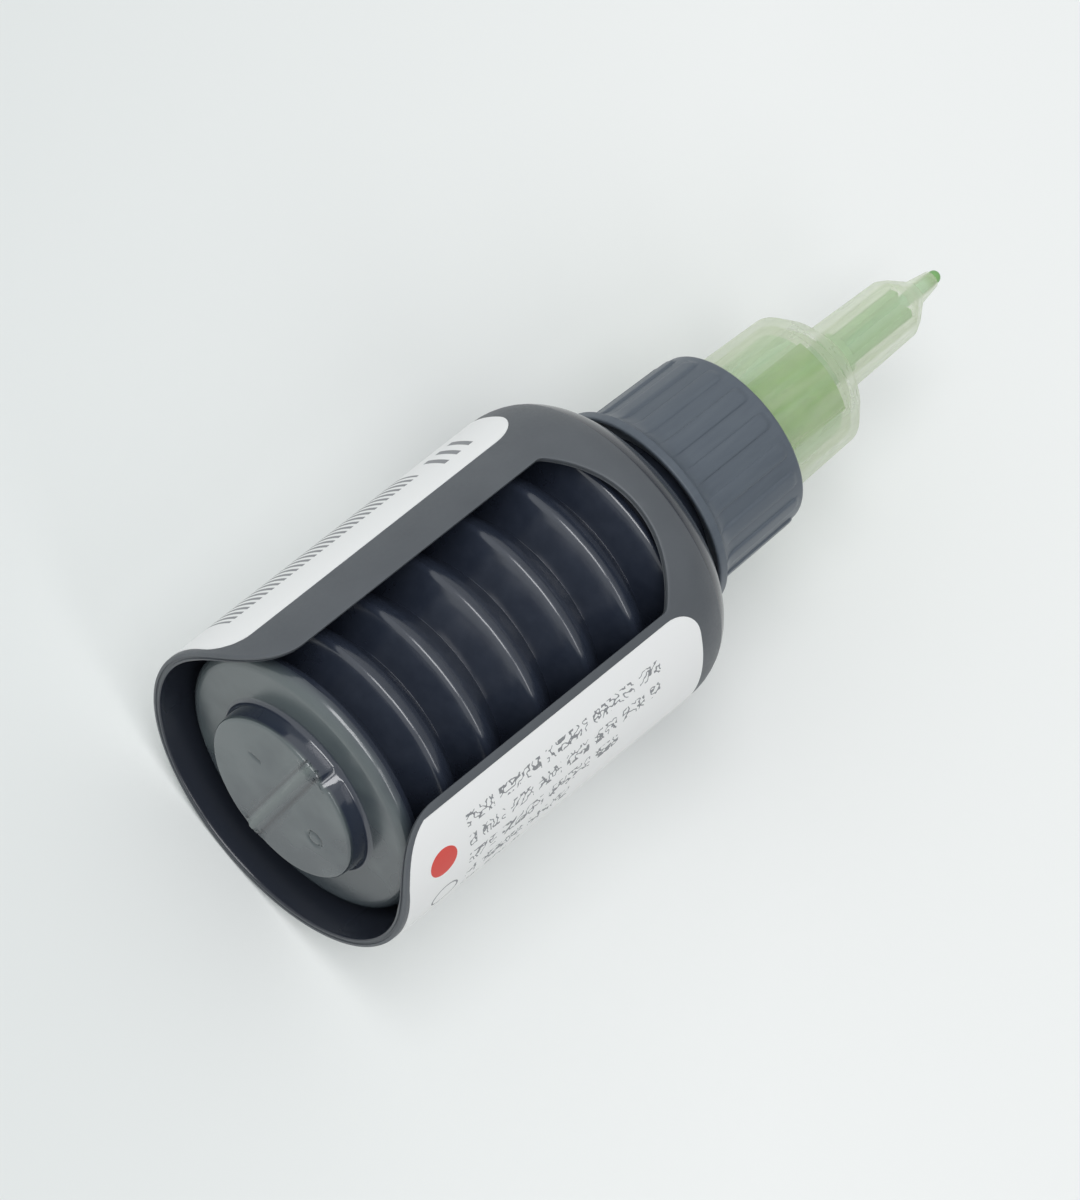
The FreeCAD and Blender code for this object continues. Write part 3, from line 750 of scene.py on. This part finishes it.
def label_edges(s):
    """The label's first and last angle at a place along it."""
    near = min(s - LABEL_REAR, LABEL_FRONT - s)
    inset = 0
    if near < LABEL_CORNER:
        inset = LABEL_CORNER - math.sqrt(LABEL_CORNER ** 2 - (LABEL_CORNER - near) ** 2)
    inset = math.degrees(inset / SLEEVE_RADIUS)
    start, end = LABEL_START + inset, LABEL_END - inset
    if s < WINDOW_REAR_CORNER:
        reach = WINDOW_REAR_CORNER - LABEL_BESIDE_WINDOW
        side = (WINDOW_HALF + WINDOW_REAR_CORNER
                - math.sqrt(reach ** 2 - min(WINDOW_REAR_CORNER - s, reach) ** 2))
        beside = math.degrees(math.asin(side / SLEEVE_RADIUS))
        start, end = max(start, beside), min(end, 360 - beside)
    return start, end


label_rows = [LABEL_REAR + LABEL_CORNER * (1 - math.cos(math.pi / 2 * k / CORNER_ROWS))
              for k in range(CORNER_ROWS)]
span = LABEL_FRONT - LABEL_REAR - 2 * LABEL_CORNER
label_rows += [LABEL_REAR + LABEL_CORNER + span * k / MIDDLE_ROWS for k in range(MIDDLE_ROWS)]
label_rows += [LABEL_FRONT - LABEL_CORNER * (1 - math.sin(math.pi / 2 * k / CORNER_ROWS))
               for k in range(CORNER_ROWS + 1)]
vertices, faces = [], []
for s in label_rows:
    start, end = label_edges(s)
    for k in range(LABEL_COLUMNS + 1):
        here = point(s, LABEL_RADIUS, start + (end - start) * k / LABEL_COLUMNS)
        here.z = max(here.z, 0)
        vertices.append(here)
wide = LABEL_COLUMNS + 1
final = len(label_rows) - 1
for row in range(final):
    for k in range(LABEL_COLUMNS):
        a = row * wide + k
        faces.append((a, a + 1, a + wide + 1, a + wide))
border = list(range(wide)) + [row * wide + LABEL_COLUMNS for row in range(1, final)]
border += [final * wide + k for k in range(LABEL_COLUMNS, -1, -1)]
border += [row * wide for row in range(final - 1, 0, -1)]
top = len(vertices)
axis = Vector((0, 0, AXIS_HEIGHT * MM))
for index in border:
    here = vertices[index] - axis
    here.yz *= (SLEEVE_RADIUS - LABEL_SINK) / LABEL_RADIUS
    vertices.append(here + axis)
for k, index in enumerate(border):
    n = (k + 1) % len(border)
    faces.append((border[n], index, top + k, top + n))

# Printed polypropylene film: matt and even, with a faint fibre that dulls its gloss, and flat
# grey and red ink.
label_film = new_material("printed matt film")
place = add(label_film, "TexCoord", {}).outputs["Object"]
parts = add(label_film, "SeparateXYZ", {"Vector": place})
along = add(label_film, "Math", {
    0: parts.outputs["X"], 1: 1 / MM, 2: -REAR_RIM_X}, operation="MULTIPLY_ADD")
level = add(label_film, "Math", {
    0: parts.outputs["Z"], 1: AXIS_HEIGHT * MM}, operation="SUBTRACT")
turn = add(label_film, "Math", {
    0: parts.outputs["Y"], 1: level.outputs["Value"]}, operation="ARCTAN2")
around = add(label_film, "Math", {
    0: turn.outputs["Value"], 1: -LABEL_RADIUS}, operation="MULTIPLY")
flat = add(label_film, "CombineXYZ", {
    0: along.outputs["Value"], 1: around.outputs["Value"]}).outputs["Vector"]
words = add(label_film, "TexBrick", {
    "Vector": flat, "Scale": 1.0, "Mortar Size": WORD_GAP / 2, "Mortar Smooth": 0.0,
    "Brick Width": WORD_LENGTH, "Row Height": PRINT_PITCH}, offset=0.37, squash=0.6,
    squash_frequency=3)
curls = add(label_film, "TexNoise", {"Vector": flat, "Scale": CURL_SCALE, "Detail": 1.0})
stroke = add(label_film, "Math", {
    0: curls.outputs["Fac"], 1: 0.5, 2: STROKE_WIDTH}, operation="COMPARE")
letters = add(label_film, "Math", {
    0: stroke.outputs["Value"], 1: words.outputs["Fac"]}, operation="GREATER_THAN")
patterns = {"letters": letters}
for name, pitch, share in (("stripes", STRIPE_PITCH, 0.5), ("bars", BAR_PITCH, 0.4)):
    steps = add(label_film, "Math", {0: along.outputs["Value"], 1: pitch}, operation="DIVIDE")
    part = add(label_film, "Math", {0: steps.outputs["Value"]}, operation="FRACT")
    patterns[name] = add(label_film, "Math", {
        0: part.outputs["Value"], 1: share}, operation="LESS_THAN")
ring = add(label_film, "VectorMath", {0: flat, 1: RING_PLACE}, operation="DISTANCE")
ink = add(label_film, "Math", {
    0: ring.outputs["Value"], 1: RING_RADIUS, 2: RING_LINE}, operation="COMPARE")
for name, back, front, low, high in PRINT_FIELDS:
    in_length = add(label_film, "Math", {
        0: along.outputs["Value"], 1: (back + front) / 2, 2: (front - back) / 2},
        operation="COMPARE")
    in_height = add(label_film, "Math", {
        0: around.outputs["Value"], 1: (low + high) / 2, 2: (high - low) / 2},
        operation="COMPARE")
    field = add(label_film, "Math", {
        0: in_length.outputs["Value"], 1: in_height.outputs["Value"]}, operation="MULTIPLY")
    ink = add(label_film, "Math", {
        0: field.outputs["Value"], 1: patterns[name].outputs["Value"],
        2: ink.outputs["Value"]}, operation="MULTIPLY_ADD", use_clamp=True)
from_dot = add(label_film, "VectorMath", {0: flat, 1: DOT_PLACE}, operation="DISTANCE")
dot = add(label_film, "Math", {
    0: from_dot.outputs["Value"], 1: DOT_RADIUS}, operation="LESS_THAN")
inked = add(label_film, "Math", {
    0: ink.outputs["Value"], 1: INK_SHARE}, operation="MULTIPLY")
grey = add(label_film, "Mix", {
    "Factor": inked.outputs["Value"], 6: linear(LABEL_PALE), 7: linear(LABEL_PRINT)},
    data_type="RGBA")
printed = add(label_film, "Mix", {
    "Factor": dot.outputs["Value"], 6: grey.outputs[2], 7: linear(LABEL_RED)},
    data_type="RGBA")
fibres = add(label_film, "TexNoise", {
    "Vector": place, "Scale": 1 / (FIBRE_SIZE * MM), "Detail": 3.0})
skin = add(label_film, "Bump", {
    "Height": fibres.outputs["Fac"], "Strength": 0.15, "Distance": 0.02 * MM})
shader = add(label_film, "BsdfPrincipled", {
    "Base Color": printed.outputs[2], "Roughness": 0.5, "IOR": 1.49,
    "Normal": skin.outputs["Normal"]})
add(label_film, "OutputMaterial", {"Surface": shader.outputs["BSDF"]})
label = new_piece("label", vertices, faces, label_film, 50)
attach(label, "bottle")
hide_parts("label")


# ==== Core in the nozzle ======================================================================
# A green polypropylene core is pressed into the neck. Its hub and finned stem carry the
# sealant past them into the nozzle, and its pin shuts the nozzle's mouth.
CORE_GREEN = "#6ca33a"
CORE_SHADE = "#5f9832"
CORE_HAZE = "#a8cdac"
HUB_LANDS = 9.65                # its radii, from which its channels and grooves are told
HUB_CHANNELS = 8.65
HUB_FRONT = 102.3
HUB_STREAKS = 20                # faint lengthwise streaks round the hub,
STREAK_DEPTH = 0.13             # and how much they change its haze
STEM_RADIUS = 2.9
STEM_FRONT = 123.3
PIN_BARE = 128.6                # from here the pin stands bare in the mouth
CORE_TONES = ((0.3, CORE_SHADE), (0.7, CORE_GREEN))
CORE_FLOW = 2.5                 # size of the clouds where the resin flowed
CORE_GRAIN = 0.6

# Moulded polypropylene: an even satin skin, a shade deeper where the resin flowed. The
# channels and grooves are hazed by the sealant's clear skin on them, and look paler.
core_plastic = new_material("moulded green polypropylene")
place = add(core_plastic, "TexCoord", {}).outputs["Object"]
flow = add(core_plastic, "TexNoise", {
    "Vector": place, "Scale": 1 / (CORE_FLOW * MM), "Detail": 2.0})
radius = axis_distance(core_plastic, place)
along = add(core_plastic, "SeparateXYZ", {"Vector": place})
hub_haze = add(core_plastic, "MapRange", {
    "Value": radius, "From Min": (HUB_CHANNELS + 0.1) * MM,
    "From Max": (HUB_LANDS - 0.1) * MM, "To Min": 0.75, "To Max": 0.0})
stem_haze = add(core_plastic, "MapRange", {
    "Value": radius, "From Min": 1.0 * MM,
    "From Max": (STEM_RADIUS - 0.3) * MM, "To Min": 0.95, "To Max": 0.6})
pin_haze = add(core_plastic, "MapRange", {
    "Value": along.outputs["X"], "From Min": (REAR_RIM_X + PIN_BARE) * MM,
    "From Max": (REAR_RIM_X + PIN_BARE + 1.2) * MM, "To Min": 1.0, "To Max": 0.3})
on_stem = add(core_plastic, "Math", {
    0: along.outputs["X"], 1: (REAR_RIM_X + HUB_FRONT + 0.1) * MM}, operation="GREATER_THAN")
on_pin = add(core_plastic, "Math", {
    0: along.outputs["X"], 1: (REAR_RIM_X + STEM_FRONT + 0.1) * MM}, operation="GREATER_THAN")
level = add(core_plastic, "Math", {
    0: along.outputs["Z"], 1: AXIS_HEIGHT * MM}, operation="SUBTRACT")
turn = add(core_plastic, "Math", {
    0: along.outputs["Y"], 1: level.outputs["Value"]}, operation="ARCTAN2")
wave = add(core_plastic, "Math", {
    0: turn.outputs["Value"], 1: float(HUB_STREAKS)}, operation="MULTIPLY")
streak = add(core_plastic, "Math", {0: wave.outputs["Value"]}, operation="SINE")
hub_haze = add(core_plastic, "Math", {
    0: streak.outputs["Value"], 1: STREAK_DEPTH, 2: hub_haze.outputs["Result"]},
    operation="MULTIPLY_ADD", use_clamp=True)
haze = add(core_plastic, "Mix", {
    "Factor": on_stem.outputs["Value"], "A": hub_haze.outputs["Value"],
    "B": stem_haze.outputs["Result"]})
haze = add(core_plastic, "Mix", {
    "Factor": on_pin.outputs["Value"], "A": haze.outputs["Result"],
    "B": pin_haze.outputs["Result"]})
grain = add(core_plastic, "TexNoise", {
    "Vector": place, "Scale": 1 / (CORE_GRAIN * MM), "Detail": 3.0})
tone = add(core_plastic, "ValToRGB", {"Fac": flow.outputs["Fac"]})
for stop, (position, colour) in zip(tone.color_ramp.elements, CORE_TONES):
    stop.position, stop.color = position, linear(colour)
skin = add(core_plastic, "Bump", {
    "Height": grain.outputs["Fac"], "Strength": 0.2, "Distance": 0.02 * MM})
hazed = add(core_plastic, "Mix", {
    "Factor": haze.outputs["Result"], 6: tone.outputs["Color"], 7: linear(CORE_HAZE)},
    data_type="RGBA")
shader = add(core_plastic, "BsdfPrincipled", {
    "Base Color": hazed.outputs[2], "Roughness": 0.42, "IOR": 1.49,
    "Normal": skin.outputs["Normal"]})
add(core_plastic, "OutputMaterial", {"Surface": shader.outputs["BSDF"]})
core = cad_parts["insert"]
core.data.materials.clear()
core.data.materials.append(core_plastic)


# ==== Nozzle ==================================================================================
# The nozzle is moulded from natural polypropylene, which is milky and lets the core show
# through. Its flange is held in the collar, and its skirt, barrel and tip carry the bead.
NOZZLE_BACK = 84.3
FLANGE_RADIUS = 11.96
FLANGE_FRONT = 85.2
SKIRT_RADIUS = 11.35
SKIRT_END = 10.65
SKIRT_FRONT = 103.8
BEVEL_RADIUS = 8.5
BEVEL_FRONT = 106.3
BARREL_RADIUS = 5.2
BARREL_BACK = 108.5
BARREL_SLIM = 4.7
BARREL_FRONT = 122.5
BARREL_END = 123.9
BARREL_END_RADIUS = 4.0
TIP_BACK = 126.7
TIP_RADIUS = 1.95
TIP_SLIM = 1.3
NOZZLE_FRONT = 130.5
SKIRT_BORE = 9.75
BARREL_BORE = 3.7
TIP_BORE = 1.35
MOUTH = 1.08
STEP_SETBACK = 0.8              # the bore's steps lie this far behind the outer ones,
TIP_SETBACK = 0.3               # and less towards the tip
BEVEL_WALL = 1.1

NOZZLE_MILK = "#dfe7cb"
FLOW_STREAK = 1.6               # width of a flow streak,
FLOW_STRETCH = 0.15             # which is drawn out along the nozzle

corners = [
    (NOZZLE_BACK, SKIRT_BORE, 0), (NOZZLE_BACK, FLANGE_RADIUS, 0.15),
    (FLANGE_FRONT, FLANGE_RADIUS, 0.15), (FLANGE_FRONT, SKIRT_RADIUS, 0),
    (SKIRT_FRONT, SKIRT_END, 0.3), (BEVEL_FRONT, BEVEL_RADIUS, 0.4),
    (BARREL_BACK, BARREL_RADIUS, 0.6), (BARREL_FRONT, BARREL_SLIM, 0.4),
    (BARREL_END, BARREL_END_RADIUS, 0.3), (TIP_BACK, TIP_RADIUS, 1.2),
    (NOZZLE_FRONT, TIP_SLIM, 0.1), (NOZZLE_FRONT, MOUTH, 0.05),
    (TIP_BACK - TIP_SETBACK, TIP_BORE, 0.5),
    (BARREL_END - TIP_SETBACK, BARREL_BORE, 0.3),
    (BARREL_BACK - STEP_SETBACK, BARREL_BORE, 0.5),
    (BEVEL_FRONT - STEP_SETBACK, BEVEL_RADIUS - BEVEL_WALL, 0.4),
    (SKIRT_FRONT - STEP_SETBACK, SKIRT_BORE, 0.4),
]

# Natural polypropylene: milky, with a satin mould skin and long faint flow streaks.
nozzle_plastic = new_material("moulded natural polypropylene")
place = add(nozzle_plastic, "TexCoord", {}).outputs["Object"]
stretch = add(nozzle_plastic, "Mapping", {"Vector": place, "Scale": (FLOW_STRETCH, 1, 1)})
streaks = add(nozzle_plastic, "TexNoise", {
    "Vector": stretch.outputs["Vector"], "Scale": 1 / (FLOW_STREAK * MM), "Detail": 3.0})
gloss = add(nozzle_plastic, "MapRange", {
    "Value": streaks.outputs["Fac"], "From Min": 0.3, "From Max": 0.7,
    "To Min": 0.26, "To Max": 0.38})
skin = add(nozzle_plastic, "Bump", {
    "Height": streaks.outputs["Fac"], "Strength": 0.25, "Distance": 0.03 * MM})
thick = add(nozzle_plastic, "MapRange", {
    "Value": streaks.outputs["Fac"], "From Min": 0.35, "From Max": 0.65,
    "To Min": 0.12, "To Max": 0.24})
aslant = add(nozzle_plastic, "LayerWeight", {"Blend": 0.5})
milk = add(nozzle_plastic, "MapRange", {
    "Value": aslant.outputs["Facing"], "From Min": 0.1, "From Max": 0.95,
    "To Min": thick.outputs["Result"], "To Max": 0.6})
shader = add(nozzle_plastic, "BsdfPrincipled", {
    "Base Color": linear(NOZZLE_MILK), "Roughness": gloss.outputs["Result"],
    "IOR": 1.49, "Alpha": milk.outputs["Result"], "Normal": skin.outputs["Normal"]})
add(nozzle_plastic, "OutputMaterial", {"Surface": shader.outputs["BSDF"]})
nozzle = new_piece("nozzle_moulding",
                   *turned(rounded(corners, 4), round_angles(160), closed=True),
                   nozzle_plastic)
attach(nozzle, "nozzle")
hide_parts("nozzle")


# ==== Collar ==================================================================================
# The collar is a moulded ring with eighteen broad, shallow grip ribs that run out of its
# flared foot. It snaps over the ring on the neck and turns there.
COLLAR_BACK = 69.6
COLLAR_FRONT = 88.9
COLLAR_RADIUS = 14.25
COLLAR_FRONT_RADIUS = 13.9
COLLAR_FOOT_RADIUS = 16.2
FOOT_BAND = 1.3
FOOT_SWEEP = 3.6                # length of the curve from the foot to the ribs
FOOT_HOLLOW = 1.8               # depth of the foot's hollow back
FOOT_WALL = 0.55
FOOT_HUB = 13.4                 # radius of the hub inside that hollow
FOOT_STEPS = 8
COLLAR_BORE = 12.06
COLLAR_HOLE = 11.46
CHAMBER_FRONT = 87.3
COLLAR_FRONT_EDGE = 0.45
RIB_COUNT = 18
RIB_SHARE = 0.55
RIB_HEIGHT = 0.3
RIB_SIDE = 0.2                  # width of a rib's sloping side
RIB_CORNER = 0.9
RIB_END = 87.5
RIB_STEPS = (0, 0.45, 0.8, 0.9, 0.95, 1.0, 1.08)    # mesh across half a rib,
GROOVE_STEPS = (0.3, 0.5, 0.7)                      # and across the groove beside it
COLLAR_LONGEST = 0.45           # longest step of the mesh along the collar

COLLAR_SLATE = "#545c66"
COLLAR_SLATE_LIGHT = "#5b636c"
COLLAR_TONES = ((0.3, COLLAR_SLATE), (0.72, COLLAR_SLATE_LIGHT))
DRAW_MARK = 0.9                 # width of a draw mark,
DRAW_STRETCH = 0.12             # which runs along the collar

sweep_rise = COLLAR_FOOT_RADIUS - COLLAR_RADIUS
sweep = (FOOT_SWEEP ** 2 + sweep_rise ** 2) / (2 * sweep_rise)
foot_front = COLLAR_BACK + FOOT_BAND
rib_start = foot_front + FOOT_SWEEP
foot_curve = []
for k in range(FOOT_STEPS + 1):
    s = foot_front + FOOT_SWEEP * k / FOOT_STEPS
    foot_curve.append(
        (s, COLLAR_RADIUS + sweep - math.sqrt(sweep ** 2 - (rib_start - s) ** 2), 0))
outside = rounded([
    (COLLAR_BACK + FOOT_HOLLOW, COLLAR_BORE, 0),
    (COLLAR_BACK + FOOT_HOLLOW, FOOT_HUB, 0.2),
    (COLLAR_BACK, COLLAR_FOOT_RADIUS - FOOT_WALL, 0.2),
    (COLLAR_BACK, COLLAR_FOOT_RADIUS, 0.3), *foot_curve,
    (COLLAR_FRONT, COLLAR_FRONT_RADIUS, COLLAR_FRONT_EDGE),
    (COLLAR_FRONT, COLLAR_HOLE, 0.2), (CHAMBER_FRONT, COLLAR_HOLE, 0)], 5)
inside = [Vector((CHAMBER_FRONT, COLLAR_BORE))]


def ribbed(s, radius, degrees):
    """The collar's radius, raised where a rib runs."""
    if radius < COLLAR_HOLE + 1 or s < foot_front - 0.2:
        return radius
    pitch = 360 / RIB_COUNT
    aside = abs(math.remainder(degrees - pitch * RIB_SHARE / 2, pitch))
    half_width = math.radians(pitch * RIB_SHARE / 2) * COLLAR_RADIUS
    across = math.radians(aside) * COLLAR_RADIUS - (half_width - RIB_CORNER)
    along = s - (RIB_END - RIB_CORNER)
    beyond = math.hypot(max(across, 0), max(along, 0)) + min(max(across, along), 0)
    depth = (RIB_CORNER - beyond) / RIB_SIDE
    raised = min(max(depth, 0), 1)
    raised = raised * raised * (3 - 2 * raised)
    fade = min(max((s - foot_front) / (FOOT_SWEEP * 0.8), 0), 1)
    return radius + RIB_HEIGHT * raised * fade


rib_half = 180 / RIB_COUNT * RIB_SHARE
groove = 360 / RIB_COUNT - 2 * rib_half
rib_angles = []
for rib in range(RIB_COUNT):
    middle = rib * 360 / RIB_COUNT + rib_half
    for step in RIB_STEPS:
        rib_angles += [middle + side * rib_half * step for side in (-1, 1)]
    rib_angles += [middle + rib_half + groove * part for part in GROOVE_STEPS]
rib_angles = sorted({round(a % 360, 4) for a in rib_angles})

# Moulded polypropylene, dark slate: satin with a fine grain and long faint draw marks.
collar_plastic = new_material("moulded slate polypropylene")
place = add(collar_plastic, "TexCoord", {}).outputs["Object"]
stretch = add(collar_plastic, "Mapping", {"Vector": place, "Scale": (DRAW_STRETCH, 1, 1)})
draw_marks = add(collar_plastic, "TexNoise", {
    "Vector": stretch.outputs["Vector"], "Scale": 1 / (DRAW_MARK * MM), "Detail": 4.0,
    "Roughness": 0.65})
tone = add(collar_plastic, "ValToRGB", {"Fac": draw_marks.outputs["Fac"]})
for stop, (position, colour) in zip(tone.color_ramp.elements, COLLAR_TONES):
    stop.position, stop.color = position, linear(colour)
gloss = add(collar_plastic, "MapRange", {
    "Value": draw_marks.outputs["Fac"], "From Min": 0.3, "From Max": 0.7,
    "To Min": 0.36, "To Max": 0.46})
skin = add(collar_plastic, "Bump", {
    "Height": draw_marks.outputs["Fac"], "Strength": 0.3, "Distance": 0.02 * MM})
shader = add(collar_plastic, "BsdfPrincipled", {
    "Base Color": tone.outputs["Color"], "Roughness": gloss.outputs["Result"],
    "IOR": 1.49, "Normal": skin.outputs["Normal"]})
add(collar_plastic, "OutputMaterial", {"Surface": shader.outputs["BSDF"]})
vertices, faces = turned(
    finer(outside, COLLAR_LONGEST) + inside, rib_angles, ribbed, closed=True)
collar = new_piece("ribbed_collar", vertices, faces, collar_plastic, 50)
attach(collar, "collar")
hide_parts("collar")


# ==== Table, light and camera =================================================================
# The bottle lies on a plain pale board, in an even room with one wide softbox above it and a
# narrow one to its right. The camera looks down on it from behind.
TABLE_PALE = "#f1f1f0"
TABLE_LEFT_SHADE = "#dfe1e0"          # painted shade: the board is made a little darker towards the left
TABLE_SHADE = "#e2eded"
TABLE_GLOW = 0.1                # share of the board's colour that the shadows don't reach
TABLE_SIZE = 3.0                # half its side, in metres
TABLE_DROP = 0.0001             # so that it and the bottle don't share a plane
RIGHTWARDS = (0.74, -0.67, 0)
ROOM_WHITE = "#f9fdfd"
ROOM_BRIGHTER_SIDE = (-0.55, 0.6, 0.58)
ROOM_STRENGTHS = (0.2, 0.84)    # away from that side, and towards it
LAMP_WHITE = "#fdfdff"
LAMP_TARGET = (0, 0, 0.02)
CAMERA_LENS = 223.8
CAMERA_PLACE = (-0.48338, -0.03271, 0.93202)
CAMERA_TURNS = (19.388, -19.569, -42.518)

# Pale matt board: even but for painted shade that darkens it towards the left, and pale also
# where it is seen in a gloss or through the nozzle.
table_top = new_material("pale matt board")
place = add(table_top, "TexCoord", {}).outputs["Object"]
# Painted shade: the board's colour grows darker towards the left.
rightwards = add(table_top, "VectorMath", {
    0: place, 1: RIGHTWARDS}, operation="DOT_PRODUCT")
even = add(table_top, "MapRange", {
    "Value": rightwards.outputs["Value"], "From Min": -0.1, "From Max": 0.03})
colour = add(table_top, "Mix", {
    "Factor": even.outputs["Result"], 6: linear(TABLE_LEFT_SHADE), 7: linear(TABLE_PALE)},
    data_type="RGBA")
board = add(table_top, "BsdfPrincipled", {
    "Base Color": colour.outputs[2], "Roughness": 0.6, "IOR": 1.45,
    "Specular IOR Level": 0.2})
glow = add(table_top, "Emission", {"Color": linear(TABLE_SHADE), "Strength": 1.0})
path = add(table_top, "LightPath", {})
seen = add(table_top, "Math", {
    0: path.outputs["Is Camera Ray"], 1: path.outputs["Is Glossy Ray"]}, operation="ADD")
seen = add(table_top, "Math", {
    0: seen.outputs["Value"], 1: path.outputs["Is Transmission Ray"]}, operation="ADD")
share = add(table_top, "Math", {
    0: seen.outputs["Value"], 1: TABLE_GLOW}, operation="MULTIPLY")
mixed = add(table_top, "MixShader", {
    0: share.outputs["Value"], 1: board.outputs["BSDF"], 2: glow.outputs["Emission"]})
add(table_top, "OutputMaterial", {"Surface": mixed.outputs["Shader"]})
table = bpy.data.meshes.new("table")
table.from_pydata([(x * TABLE_SIZE, y * TABLE_SIZE, 0)
                   for x, y in ((-1, -1), (1, -1), (1, 1), (-1, 1))], [], [(0, 1, 2, 3)])
table.materials.append(table_top)
floor = bpy.data.objects.new("table", table)
floor.location.z = -TABLE_DROP
bpy.context.scene.collection.objects.link(floor)

# The room's light: even and white, and brighter from above and from the left.
world = bpy.data.worlds.new("studio")
world.use_nodes = True
background = world.node_tree.nodes["Background"]
background.inputs["Color"].default_value = linear(ROOM_WHITE)
towards = add(world, "TexCoord", {}).outputs["Generated"]
side = add(world, "VectorMath", {
    0: towards, 1: ROOM_BRIGHTER_SIDE}, operation="DOT_PRODUCT")
dim, bright = ROOM_STRENGTHS
level = add(world, "MapRange", {
    "Value": side.outputs["Value"], "From Min": -1.0, "To Min": dim, "To Max": bright})
world.node_tree.links.new(level.outputs["Result"], background.inputs["Strength"])
bpy.context.scene.world = world


def lamp(name, place, width, length, watts):
    """A softbox that faces the bottle."""
    light = bpy.data.lights.new(name, "AREA")
    light.shape = "RECTANGLE"
    light.size = width
    light.size_y = length
    light.energy = watts
    light.color = linear(LAMP_WHITE)[:3]
    holder = bpy.data.objects.new(name, light)
    holder.location = place
    aim = Vector(LAMP_TARGET) - Vector(place)
    holder.rotation_euler = aim.to_track_quat("-Z", "Y").to_euler()
    bpy.context.scene.collection.objects.link(holder)


lamp("overhead_softbox", (-0.48, 0.1, 1.9), 1.7, 0.55, 15)
lamp("right_softbox", (-0.5, -1.3, 1.5), 0.36, 1.0, 3.8)

camera = bpy.data.cameras.new("camera")
camera.sensor_width = 36
camera.lens = CAMERA_LENS
camera.clip_start = 0.01
holder = bpy.data.objects.new("camera", camera)
holder.location = CAMERA_PLACE
holder.rotation_euler = [math.radians(turn) for turn in CAMERA_TURNS]
bpy.context.scene.collection.objects.link(holder)
bpy.context.scene.camera = holder
bpy.context.scene.view_settings.view_transform = "Standard"

bpy.context.view_layer.update()
